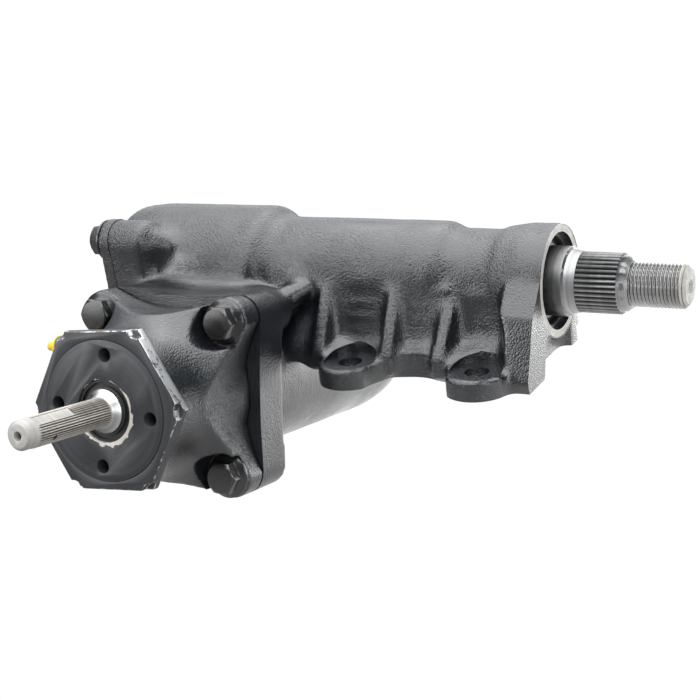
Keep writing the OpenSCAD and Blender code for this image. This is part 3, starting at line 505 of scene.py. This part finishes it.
# painted shade: the stub serration roots are darkened
stubSerration = turnedMetal("stubSerration", {
    **wormAxis, "fine": 1400.0, "tone": ((0.36, 0.33, 0.3), (0.48, 0.445, 0.4)), "gloss": (0.38, 0.5),
    "bump": 0.1, "scuffScale": 500.0, "scuffs": 0.42, "grime": 0.35, "metal": 0.5, "rootShade": (7.1, 7.8)})
stubEnd = turnedMetal("stubEnd", {
    **wormAxis, "fine": 2200.0, "tone": ((0.3, 0.29, 0.275), (0.42, 0.41, 0.39)), "gloss": (0.42, 0.55),
    "bump": 0.15, "scuffScale": 300.0, "scuffs": 0.42, "grime": 0.35, "metal": 0.3})
bearingSteel = turnedMetal("bearingSteel", {
    **sectorAxis, "fine": 3000.0, "tone": (grey(0.55), grey(0.65)), "gloss": (0.15, 0.22),
    "bump": 0.1, "scuffScale": 300.0, "scuffs": 0.4, "grime": 0.2, "metal": 1.0})
plugSatin = turnedMetal("plugSatin", {
    **wormAxis, "fine": 1700.0, "tone": ((0.024, 0.025, 0.028), (0.038, 0.039, 0.043)), "gloss": (0.3, 0.42),
    "bump": 0.14, "scuffScale": 380.0, "scuffs": 0.4, "grime": 0.4, "metal": 0.1,
    "smear": {
        "scale": 260.0, "reach": (16.6, 19.6), "span": 26, "rough": 1.0, "fade": 0.4,
        "tone": (0.5, 0.48, 0.42)}})
wornEdge = chippedPaint("wornEdge", {
    "scale": 260.0, "amount": 0.5, "tone": 0.05, "bare": 0.5, "gloss": 0.3})
wornSide = chippedPaint("wornSide", {
    "scale": 180.0, "amount": 0.6, "tone": 0.03, "bare": 0.55, "gloss": 0.32})
boltEdge = chippedPaint("boltEdge", {
    "scale": 500.0, "amount": 0.42, "tone": 0.035, "bare": 0.45, "gloss": 0.3})
oilRubber = softPlastic("oilRubber", {
    "scale": 420.0, "tone": (grey(0.01), grey(0.02)), "gloss": (0.35, 0.55)})
ringPlastic = softPlastic("ringPlastic", {
    "scale": 300.0, "tone": ((0.5, 0.48, 0.42), (0.62, 0.6, 0.53)), "gloss": (0.4, 0.5)})
yellowCap = softPlastic("yellowCap", {
    "scale": 260.0, "tone": ((0.68, 0.42, 0.02), (0.8, 0.53, 0.04)), "gloss": (0.3, 0.42)})
print("materials made")


# castings

castWaves = bpy.data.textures.new("castWaves", "CLOUDS")
castWaves.noise_scale = 0.018
castWaves.noise_depth = 1
castAngle = 38
slabDepth = 12
hollowLift = 0.03 * mm  # a point this far below its neighbours is fully in a hollow


def pushFace(piece, point, normal, distance):
    point, normal = place(point), Vector(normal)
    selectWhere(piece, lambda spot: abs((spot - point).dot(normal)) < onFace)
    bpy.ops.transform.translate(value=normal * distance * mm)
    bpy.ops.object.mode_set(mode="OBJECT")


def markHollows(piece):
    mesh = piece.data
    mean = [Vector() for vertex in mesh.vertices]
    count = [0] * len(mesh.vertices)
    for edge in mesh.edges:
        a, b = edge.vertices
        mean[a] += mesh.vertices[b].co
        mean[b] += mesh.vertices[a].co
        count[a] += 1
        count[b] += 1
    group = piece.vertex_groups.new(name="hollows")
    for vertex in mesh.vertices:
        lift = (mean[vertex.index] / count[vertex.index] - vertex.co).dot(vertex.normal)
        if lift > 0:
            group.add([vertex.index], min(1.0, lift / hollowLift), "REPLACE")


def softenSpot(piece, centre, reach, passes):
    centre, reach = place(centre), reach * mm
    group = piece.vertex_groups.new(name="spot")
    for vertex in piece.data.vertices:
        share = 1 - (vertex.co - centre).length / reach
        if share > 0:
            group.add([vertex.index], min(1.0, 2 * share), "REPLACE")
    applyModifier(piece, "SMOOTH", factor=0.5, iterations=passes, vertex_group="spot")
    piece.vertex_groups.remove(piece.vertex_groups["spot"])


# bores are plugged and machined faces stand proud while the skin is softened, then both are cut clean
def castSkinOf(piece, setup):
    for point, normal in setup["machined"]:
        pushFace(piece, point, normal, stock)
    joinInto(piece, [addRod(*rod) for rod in setup["plugs"] + setup["blends"]])
    applyModifier(piece, "REMESH", mode="VOXEL", voxel_size=setup["voxel"] * mm)
    applyModifier(piece, "SMOOTH", factor=0.5, iterations=setup["soften"])
    for turn in range(setup["filletPasses"]):
        markHollows(piece)
        applyModifier(piece, "SMOOTH", factor=0.5, iterations=setup["fillet"], vertex_group="hollows")
        piece.vertex_groups.remove(piece.vertex_groups["hollows"])
    for centre, reach, passes in setup["soft"]:
        softenSpot(piece, centre, reach, passes)
    applyModifier(piece, "DISPLACE", texture=castWaves, texture_coords="LOCAL",
                  strength=setup["waves"] * mm, mid_level=0.5)
    cutters = [addSlab(point, normal, setup["reach"], slabDepth) for point, normal in setup["machined"]]
    cutters += [addRod(*bore) for bore in setup["bores"]]
    cutWith(piece, cutters)
    piece.data.materials.clear()
    smoothByAngle(piece, castAngle)
    print(piece.name, len(piece.data.polygons), "faces")
    return piece


def paintFaces(piece, slot, point, normal, inside):
    point, normal = place(point), Vector(normal)
    for polygon in piece.data.polygons:
        flat = polygon.normal.dot(normal) > 0.98 and abs((polygon.center - point).dot(normal)) < onFace
        if flat and (polygon.center - point).length < inside * mm:
            polygon.material_index = slot


# machined faces, and the stock that stands on them until they are cut
stock = 4
proud = stock - 0.1
valveJoint, coverJoint, jointGap = -78.5, -70, 0.1
valveFront, coverFront, portFace = -141, -101, -52
bossEnd, rimFace, footFace = 200, 199.75, -45.5

# holes: x and y on the mount, x and z on the valve joint, y and z on the cover and the ports
mountHoles = [(x, y) for x in (93, 170) for y in (-53.8, 53.8)]
valveBolts = [(x, wormHeight + z) for x in (-41.6, 41.6) for z in (-43.1, 43.1)]
coverCircle = 41.5
coverAngles = [math.radians(angle) for angle in (23.6, 156.4, -52, 232)]
coverBolts = [(coverCircle * math.cos(angle), coverCircle * math.sin(angle)) for angle in coverAngles]
portLine = -116
ports = [(portLine, wormHeight + z) for z in (-26, 26)]

# rods are radius, start, end, sides and radius at the far end
gearCasting = {
    "voxel": 1.45, "soften": 5, "fillet": 30, "filletPasses": 4, "waves": 0.35, "reach": 100, "rim": 33,
    # runs of metal from the cover pads into the chamber
    "blends": [(13.4, (-53, y, 16.6), (-33, 0.8 * y, 13.5), 48, 5) for y in (-38, 38)]
    + [(13.4, (-53, y, -32.7), (-33, 0.8 * y, -28), 48, 6) for y in (-25.6, 25.6)]
    # the saddle behind the valve flange, and the ridge from it to the tube
    + [(10, (-44, y, z), (40, y, z)) for y, z in ((-55, -20), (-49, -20), (-44, -19), (-39, -17))]
    + [(10, (38, -46, -20), (58, -29, -6), 48, 5)]
    # the wall behind the front foot
    + [(8, (66, -22.8, z), (146, -22.8, z)) for z in (-6, -14, -22, -30, -38)]
    + [(8, (140, -18.6, z), (186, -18.6, z)) for z in (-10, -16, -22, -30, -38)],
    # centre, reach and passes
    "soft": [((-62, -38, 10), 36, 40), ((-58, -36, -30), 26, 30)],
    "machined": [
        ((0, valveJoint, wormHeight), (0, -1, 0)),
        ((bossEnd, 0, 0), (1, 0, 0)),
        ((coverJoint, 0, 0), (-1, 0, 0)),
        (onMount(166, 0, footFace), -mountUp),
    ],
    "plugs": [
        (40.0, (0, valveJoint - proud, wormHeight), (0, 118.5, wormHeight)),
        (34.8, (coverJoint - proud, 0, 0), (20, 0, 0)),
        (27.5, (16, 0, 0), (bossEnd + proud, 0, 0)),
    ]
    + [(7, (x, valveJoint - proud, z), (x, -55, z)) for x, z in valveBolts]
    + [(7, (coverJoint - proud, y, z), (-48, y, z)) for y, z in coverBolts]
    + [(15.7, onMount(x, y, footFace - proud), onMount(x, y, -34.1)) for x, y in mountHoles],
    "bores": [
        (39.5, (0, -110, wormHeight), (0, 118, wormHeight), 96),
        (34.4, (-110, 0, 0), (19, 0, 0), 96),
        (22.37, (15, 0, 0), (24, 0, 0), 96),
        (20.0, (15, 0, 0), (240, 0, 0), 96),
        (23.58, (23, 0, 0), (47, 0, 0), 96),
        (23.58, (162, 0, 0), (240, 0, 0), 96),
        (27.02, (187, 0, 0), (240, 0, 0), 96),
        (31.2, (rimFace, 0, 0), (240, 0, 0), 96),
    ]
    + [(6.02, (x, -110, z), (x, -56.5, z), 32) for x, z in valveBolts]
    + [(6.02, (-110, y, z), (-50, y, z), 32) for y, z in coverBolts]
    + [(6.75, onMount(x, y, -60), onMount(x, y, 0), 48) for x, y in mountHoles]
    + [(15.2, onMount(x, y, -35.3), onMount(x, y, 0), 64) for x, y in mountHoles],
}
gearHousing = castSkinOf(copyNode("gear_housing", "gearHousing"), gearCasting)
gearHousing.data.materials.append(blackCasting)
gearHousing.data.materials.append(machinedFace)
paintFaces(gearHousing, 1, (rimFace, 0, 0), (1, 0, 0), gearCasting["rim"])
finishPiece(gearHousing, "housing", "cast_paint", "gear_housing")

valveCasting = {
    "voxel": 1.3, "soften": 5, "fillet": 30, "filletPasses": 3, "waves": 0.35, "reach": 100,
    "blends": [], "soft": [],
    "machined": [
        ((0, valveJoint - jointGap, wormHeight), (0, 1, 0)),
        ((0, valveFront, wormHeight), (0, -1, 0)),
        ((portFace, portLine, wormHeight), (-1, 0, 0)),
    ],
    "plugs": [
        (24.8, (0, valveJoint + proud, wormHeight), (0, valveFront - proud, wormHeight)),
        (30.7, (0, valveJoint + proud, wormHeight), (0, -91.5, wormHeight)),
        (39.0, (0, -125.5, wormHeight), (0, valveFront - proud, wormHeight)),
    ]
    + [(7.3, (x, valveJoint + proud, z), (x, -94.6, z)) for x, z in valveBolts]
    + [(6.2, (-30, y, z), (portFace - proud, y, z)) for y, z in ports],
    "bores": [
        (24.1, (0, -60, wormHeight), (0, -170, wormHeight), 96),
        (30.02, (0, -60, wormHeight), (0, -90.5, wormHeight), 96),
        (38.42, (0, -126.5, wormHeight), (0, -170, wormHeight), 96),
    ]
    + [(6.5, (x, -60, z), (x, -110, z), 32) for x, z in valveBolts]
    + [(14.0, (x, -93.5, z), (x, -141.5, z), 48) for x, z in valveBolts]
    + [(5.5, (-36, y, z), (-80, y, z), 32) for y, z in ports],
}
valveHousing = castSkinOf(copyNode("valve_housing", "valveHousing"), valveCasting)
valveHousing.data.materials.append(blackCasting)
finishPiece(valveHousing, "housing", "cast_paint", "valve_housing")

coverBack = (coverJoint - jointGap, 0, 0)
coverCasting = {
    "voxel": 1.3, "soften": 5, "fillet": 10, "filletPasses": 1, "waves": 0.3, "reach": 60,
    "blends": [], "soft": [],
    "machined": [(coverBack, (1, 0, 0)), ((coverFront, 0, 0), (-1, 0, 0))],
    "plugs": [(19, (-84, 0, 0), (-66.2, 0, 0)), (5.6, (coverFront - proud, 0, 0), (-80, 0, 0))]
    + [(7.3, (-79, y, z), (-66.2, y, z)) for y, z in coverBolts],
    "bores": [(15.0, (-76, 0, 0), (-60, 0, 0), 64), (5.02, (-120, 0, 0), (-70, 0, 0), 48)]
    + [(6.5, (-90, y, z), (-60, y, z), 32) for y, z in coverBolts]
    + [(14.0, (-78, y, z), (-100.5, y, z), 48) for y, z in coverBolts],
}
coverShell = keepSide(copyNode("side_cover", "coverShell"), coverBack, (-1, 0, 0))
sideCover = castSkinOf(coverShell, coverCasting)
sideCover.name = sideCover.data.name = "sideCover"
coverSpigot = keepSide(copyNode("side_cover", "coverSpigot"), coverBack, (1, 0, 0))
joinInto(sideCover, [coverSpigot])
smoothByAngle(sideCover, castAngle)
sideCover.data.materials.append(blackCasting)
finishPiece(sideCover, "housing", "cast_paint", "side_cover")
print("castings made")


# turned and forged pieces

turnedAngle = 30
sameFlat = math.radians(0.4)


def edgedFrom(node, name, setup):
    piece = copyNode(node, name)
    piece.data.materials.append(setup["face"])
    piece.data.materials.append(setup["edge"])
    pick(piece)
    bpy.ops.object.mode_set(mode="EDIT")
    bpy.ops.mesh.select_all(action="SELECT")
    bpy.ops.mesh.dissolve_limited(angle_limit=sameFlat)
    bpy.ops.object.mode_set(mode="OBJECT")
    applyModifier(piece, "BEVEL", width=setup["round"] * mm, segments=2, limit_method="ANGLE",
                  angle_limit=math.radians(setup["over"]), material=1, use_clamp_overlap=True)
    smoothByAngle(piece, turnedAngle)
    return piece


# bare sides facing one way; the thread side keeps its finish
def wearSides(piece, setup):
    piece.data.materials.append(setup["worn"])
    for polygon in piece.data.polygons:
        spot = polygon.center / mm - gearCentre
        if math.hypot(spot.x, spot.z - wormHeight) < setup["threadRadius"]:
            polygon.material_index = 0
        elif polygon.normal.dot(setup["wornTowards"]) > 0.9:
            polygon.material_index = 2


edgedPieces = {
    "plugLockNut": {
        "node": "plug_lock_nut", "slot": "plug_steel",
        "face": plugSatin, "edge": wornEdge, "round": 0.9, "over": 28,
        "worn": wornSide, "wornTowards": Vector((0.87, 0, 0.5)), "threadRadius": 39.5},
    "bearingPlug": {
        "node": "bearing_plug", "slot": "plug_steel",
        "face": plugSatin, "edge": plugSatin, "round": 0.6, "over": 40},
    "valveBolts": {
        "node": "valve_bolts", "slot": "bolt_black",
        "face": boltBlack, "edge": boltEdge, "round": 0.35, "over": 24},
    "coverBolts": {
        "node": "side_cover_bolts", "slot": "bolt_black",
        "face": boltBlack, "edge": boltEdge, "round": 0.35, "over": 24},
    "adjustingNut": {
        "node": "adjusting_lock_nut", "slot": "bolt_black",
        "face": boltBlack, "edge": boltEdge, "round": 0.5, "over": 28},
    "pressureCap": {
        "node": "pressure_port_cap", "slot": "cap_plastic",
        "face": yellowCap, "edge": yellowCap, "round": 0.8, "over": 40},
    "returnCap": {
        "node": "return_port_cap", "slot": "cap_plastic",
        "face": yellowCap, "edge": yellowCap, "round": 0.8, "over": 40},
}
for name, setup in edgedPieces.items():
    piece = edgedFrom(setup["node"], name, setup)
    if "worn" in setup:
        wearSides(piece, setup)
    finishPiece(piece, "housing", setup["slot"], setup["node"])
print("edged pieces made")


# sector shaft with its cut thread

threadSetup = {
    "radius": 12.0, "depth": 1.15, "pitch": 2.0, "turns": 17, "steps": 72, "lead": 238.5,
    "start": 241.0, "end": 272.0, "chamfer": 2.4, "trim": 0.03, "sides": 96,
    # centre hole in the end: a drilled hole and a cone
    "drill": {"radius": 1.8, "start": 263, "end": 280},
    "cone": {"radius": 0.05, "start": 267.95, "end": 272.45, "tip": 4.5},
    "holeSides": 32,
}
shaftSetup = {
    "threadFrom": 241.5, "sides": 160, "smooth": 28,
    "journal": {"radius": 19.34, "start": 188, "end": 206.7},
    "runOut": {"radius": 17.9, "start": 206.6, "end": 213.4, "tip": 16.7},
    # where the finishes, and the painted highlight on the shoulder, run along the shaft
    "shoulder": (207, 213), "serration": (213, 236.2), "thread": 242, "endFace": 268,
}


def addShaftRod(setup, sides):
    return addRod(setup["radius"], (setup["start"], 0, 0), (setup["end"], 0, 0), sides, setup.get("tip"))


def addThreadedRod(setup):
    crest, root, pitch = setup["radius"], setup["radius"] - setup["depth"], setup["pitch"]
    profile = [(root, 0), (root, 0.12 * pitch), (crest, 0.48 * pitch), (crest, 0.6 * pitch), (root, pitch)]
    deselectAll()
    bpy.ops.mesh.primitive_circle_add(vertices=len(profile), fill_type="NOTHING")
    rod = bpy.context.object
    rod.name = rod.data.name = "sectorThread"
    for vertex, (radius, height) in zip(rod.data.vertices, profile):
        vertex.co = Vector((radius, 0, height)) * mm

    def profileEnds(spot):
        return spot.x < root * mm + hair and (spot.z < hair or spot.z > pitch * mm - hair)

    selectWhere(rod, profileEnds)
    bpy.ops.mesh.delete(type="EDGE")
    bpy.ops.object.mode_set(mode="OBJECT")
    applyModifier(rod, "SCREW", screw_offset=pitch * mm, iterations=setup["turns"], steps=setup["steps"],
                  render_steps=setup["steps"], use_merge_vertices=True, merge_threshold=weld / 2)
    pick(rod)
    bpy.ops.object.mode_set(mode="EDIT")
    bpy.ops.mesh.select_all(action="SELECT")
    bpy.ops.mesh.remove_doubles(threshold=weld)
    bpy.ops.mesh.fill_holes(sides=0)
    bpy.ops.mesh.quads_convert_to_tris()
    bpy.ops.mesh.normals_make_consistent(inside=False)
    bpy.ops.object.mode_set(mode="OBJECT")
    alongShaft = Matrix.Rotation(math.radians(90), 4, "Y")
    rod.data.transform(Matrix.Translation(place((setup["lead"], 0, 0))) @ alongShaft)
    blank = addRod(crest - setup["trim"], (setup["start"], 0, 0), (setup["end"], 0, 0), setup["sides"])
    far = place((setup["end"], 0, 0)).x
    selectWhere(blank, lambda spot: spot.x > far - hair)
    bpy.ops.mesh.bevel(offset=setup["chamfer"] * mm, segments=1)
    bpy.ops.object.mode_set(mode="OBJECT")
    applyModifier(rod, "BOOLEAN", operation="INTERSECT", object=blank, solver="MANIFOLD")
    bpy.data.objects.remove(blank)
    cutWith(rod, [addShaftRod(setup[key], setup["holeSides"]) for key in ("drill", "cone")])
    rod.data.materials.clear()
    return rod


sectorShaft = keepSide(copyNode("sector_shaft", "sectorShaft"), (shaftSetup["threadFrom"], 0, 0), (-1, 0, 0))
journal, runOut = (addShaftRod(shaftSetup[key], shaftSetup["sides"]) for key in ("journal", "runOut"))
joinInto(sectorShaft, [addThreadedRod(threadSetup), journal, runOut])
smoothByAngle(sectorShaft, shaftSetup["smooth"])
for material in (shaftSteel, serrationSteel, threadSteel, machinedFace, shoulderHighlightSteel):
    sectorShaft.data.materials.append(material)
for polygon in sectorShaft.data.polygons:
    reach = (polygon.center / mm - gearCentre).x
    ends = abs(polygon.normal.x) > 0.5
    if reach > shaftSetup["endFace"] and ends:
        polygon.material_index = 3
    elif reach > shaftSetup["thread"] and not ends:
        polygon.material_index = 2
    # the shoulder gets the lighter steel: painted highlight
    elif shaftSetup["shoulder"][0] < reach < shaftSetup["shoulder"][1] and not ends:
        polygon.material_index = 4
    elif shaftSetup["serration"][0] < reach < shaftSetup["serration"][1] and not ends:
        polygon.material_index = 1
finishPiece(sectorShaft, "sector", "bright_steel", "sector_shaft")
print("sector shaft made,", len(sectorShaft.data.polygons), "faces")


# input shaft, with its stub turned so that the flat faces the camera

inputSetup = {
    "face": stubSteel, "edge": stubSteel, "round": 0.12, "over": 40,
    "cone": -151.0, "start": -152.8, "end": -208.6, "flat": -180.5, "turn": 31,
}


def turnOnWorm(piece, degrees):
    axis = Matrix.Translation(place((0, 0, wormHeight)))
    piece.data.transform(axis @ Matrix.Rotation(math.radians(degrees), 4, "Y") @ axis.inverted())
    return piece


def turnedStub(setup):
    inner = keepSide(edgedFrom("input_shaft", "inputShaft", setup), (0, setup["cone"], 0), (0, 1, 0))
    outer = keepSide(edgedFrom("input_shaft", "inputStub", setup), (0, setup["cone"], 0), (0, -1, 0))
    joinInto(inner, [turnOnWorm(outer, setup["turn"])])
    smoothByAngle(inner, turnedAngle)
    return inner


inputShaft = turnedStub(inputSetup)
inputShaft.data.materials[1] = stubSerration
inputShaft.data.materials.append(stubEnd)
flatUp = Matrix.Rotation(math.radians(inputSetup["turn"]), 3, "Y") @ Vector((0, 0, 1))
for polygon in inputShaft.data.polygons:
    spot = polygon.center / mm - gearCentre
    onFlat = spot.y < inputSetup["flat"] and polygon.normal.dot(flatUp) > 0.999
    if onFlat or spot.y < inputSetup["end"]:
        polygon.material_index = 2
    elif inputSetup["end"] < spot.y < inputSetup["start"]:
        polygon.material_index = 1
    else:
        polygon.material_index = 0
finishPiece(inputShaft, "input", "bright_steel", "input_shaft")

# the bar and its pin turn with the stub, so that their cross holes still meet
pinnedPieces = {
    "torsionBar": {"node": "torsion_bar", "slot": "bright_steel"},
    "torsionPin": {"node": "torsion_pin", "slot": "bearing_steel"},
}
for name, setup in pinnedPieces.items():
    piece = turnOnWorm(copyNode(setup["node"], name), inputSetup["turn"])
    piece.data.materials.append(stubSteel)
    smoothByAngle(piece, turnedAngle)
    finishPiece(piece, "input", setup["slot"], setup["node"])
print("input shaft made")


# pieces that keep their frame mesh

nodeMaterials = {
    oilRubber: ("valve_joint_seal", "side_cover_seal", "sector_seal", "input_seal"),
    ringPlastic: ("piston_seal_ring", "sleeve_rings"),
    stubSteel: ("worm_shaft", "valve_sleeve", "ball_nut_piston", "return_guide",
                "worm_inner_race", "worm_outer_race"),
    shaftSteel: ("adjusting_screw", "seal_snap_ring"),
    bearingSteel: ("nut_balls", "worm_bearing_balls", "input_needle_shell", "input_needles",
                   "cover_needle_shell", "cover_needles", "inner_needle_shell", "inner_needles",
                   "outer_needle_shell", "outer_needles"),
}
for material, names in nodeMaterials.items():
    for name in names:
        finishNode(name, material)
print("frame pieces coloured")


# stage and light

stageSetup = {
    "floor": 60, "gap": 0.0002,  # m
    "front": 0.5, "back": 1.8, "fade": (-0.3, 0.1), "slant": 0.5,  # floor light, as reflections see it
    "seen": 1.02, "world": 0.25, "sky": (0.72, 0.87, 1.0, 1.0),
}
# at and aim in m, size in m, power in W
softboxes = {
    "topSoftbox": {"at": (-0.25, -0.2, 1.0), "aim": (-0.2, -0.12, 0), "size": (1.9, 2.1), "power": 49},
    "keySoftbox": {"at": (0.35, -1.0, 1.0), "aim": (-0.2, 0, -0.05), "size": (0.7, 0.6), "power": 4},
    "frontFill": {"at": (-0.95, -1.2, 0.5), "aim": (-0.25, 0, -0.05), "size": (1.0, 0.8), "power": 6},
    "leftSoftbox": {"at": (-1.05, -1.0, 0.12), "aim": (-0.3, -0.05, -0.02), "size": (0.6, 0.7), "power": 5},
    "rightSoftbox": {"at": (0.75, -0.8, 0.14), "aim": (-0.22, -0.08, -0.06), "size": (0.8, 0.5), "power": 5},
    "backSoftbox": {"at": (-0.6, 1.1, 0.75), "aim": (-0.18, 0, 0), "size": (2.2, 1.2), "power": 8.5},
    "backPanel": {"at": (0.2, 0.7, 0.06), "aim": (-0.22, -0.02, -0.07), "size": (1.0, 0.4), "power": 5},
}


def addFloor(setup):
    deselectAll()
    bpy.ops.mesh.primitive_plane_add(size=setup["floor"], location=(0, 0, cadBox[0].z - setup["gap"]))
    floor = bpy.context.object
    floor.name = "floor"
    freeze(floor)
    material, tree, shader = newTree("paleFloor")
    shader.inputs["Base Color"].default_value = (0.0, 0.0, 0.0, 1)
    shader.inputs["Roughness"].default_value = 1.0
    shader.inputs["Specular IOR Level"].default_value = 0.0
    shader.inputs["Emission Color"].default_value = (1, 1, 1, 1)
    parts = addNode(tree, "ShaderNodeSeparateXYZ")
    tree.links.new(addNode(tree, "ShaderNodeTexCoord").outputs["Object"], parts.inputs[0])
    aside = mathNode(tree, "MULTIPLY", parts.outputs["X"], setup["slant"])
    depth = mathNode(tree, "ADD", aside, parts.outputs["Y"])
    glow = rescale(tree, depth, *setup["fade"], setup["front"], setup["back"])
    seen = addNode(tree, "ShaderNodeLightPath").outputs["Is Camera Ray"]
    level = addNode(tree, "ShaderNodeMix")
    tree.links.new(seen, level.inputs["Factor"])
    tree.links.new(glow, level.inputs[2])
    level.inputs[3].default_value = setup["seen"]
    tree.links.new(level.outputs[0], shader.inputs["Emission Strength"])
    floor.data.materials.append(material)


def addWorld(setup):
    world = bpy.data.worlds.new("studio")
    bpy.context.scene.world = world
    world.use_nodes = True
    tree = world.node_tree
    background = tree.nodes["Background"]
    seen = addNode(tree, "ShaderNodeLightPath").outputs["Is Camera Ray"]
    sky = mixColours(tree, "MIX", seen, setup["sky"], (1.0, 1.0, 1.0, 1.0))
    tree.links.new(sky, background.inputs["Color"])
    tree.links.new(rescale(tree, seen, 0, 1, setup["world"], setup["seen"]), background.inputs["Strength"])


def addSoftbox(name, setup):
    stand, aim = Vector(setup["at"]), Vector(setup["aim"])
    bpy.ops.object.light_add(type="AREA", location=stand)
    light = bpy.context.object
    light.name = name
    light.rotation_euler = (aim - stand).to_track_quat("-Z", "Y").to_euler()
    light.data.shape = "RECTANGLE"
    light.data.size, light.data.size_y = setup["size"]
    light.data.energy = setup["power"]


addFloor(stageSetup)
addWorld(stageSetup)
for name, setup in softboxes.items():
    addSoftbox(name, setup)
print("stage and lights set")
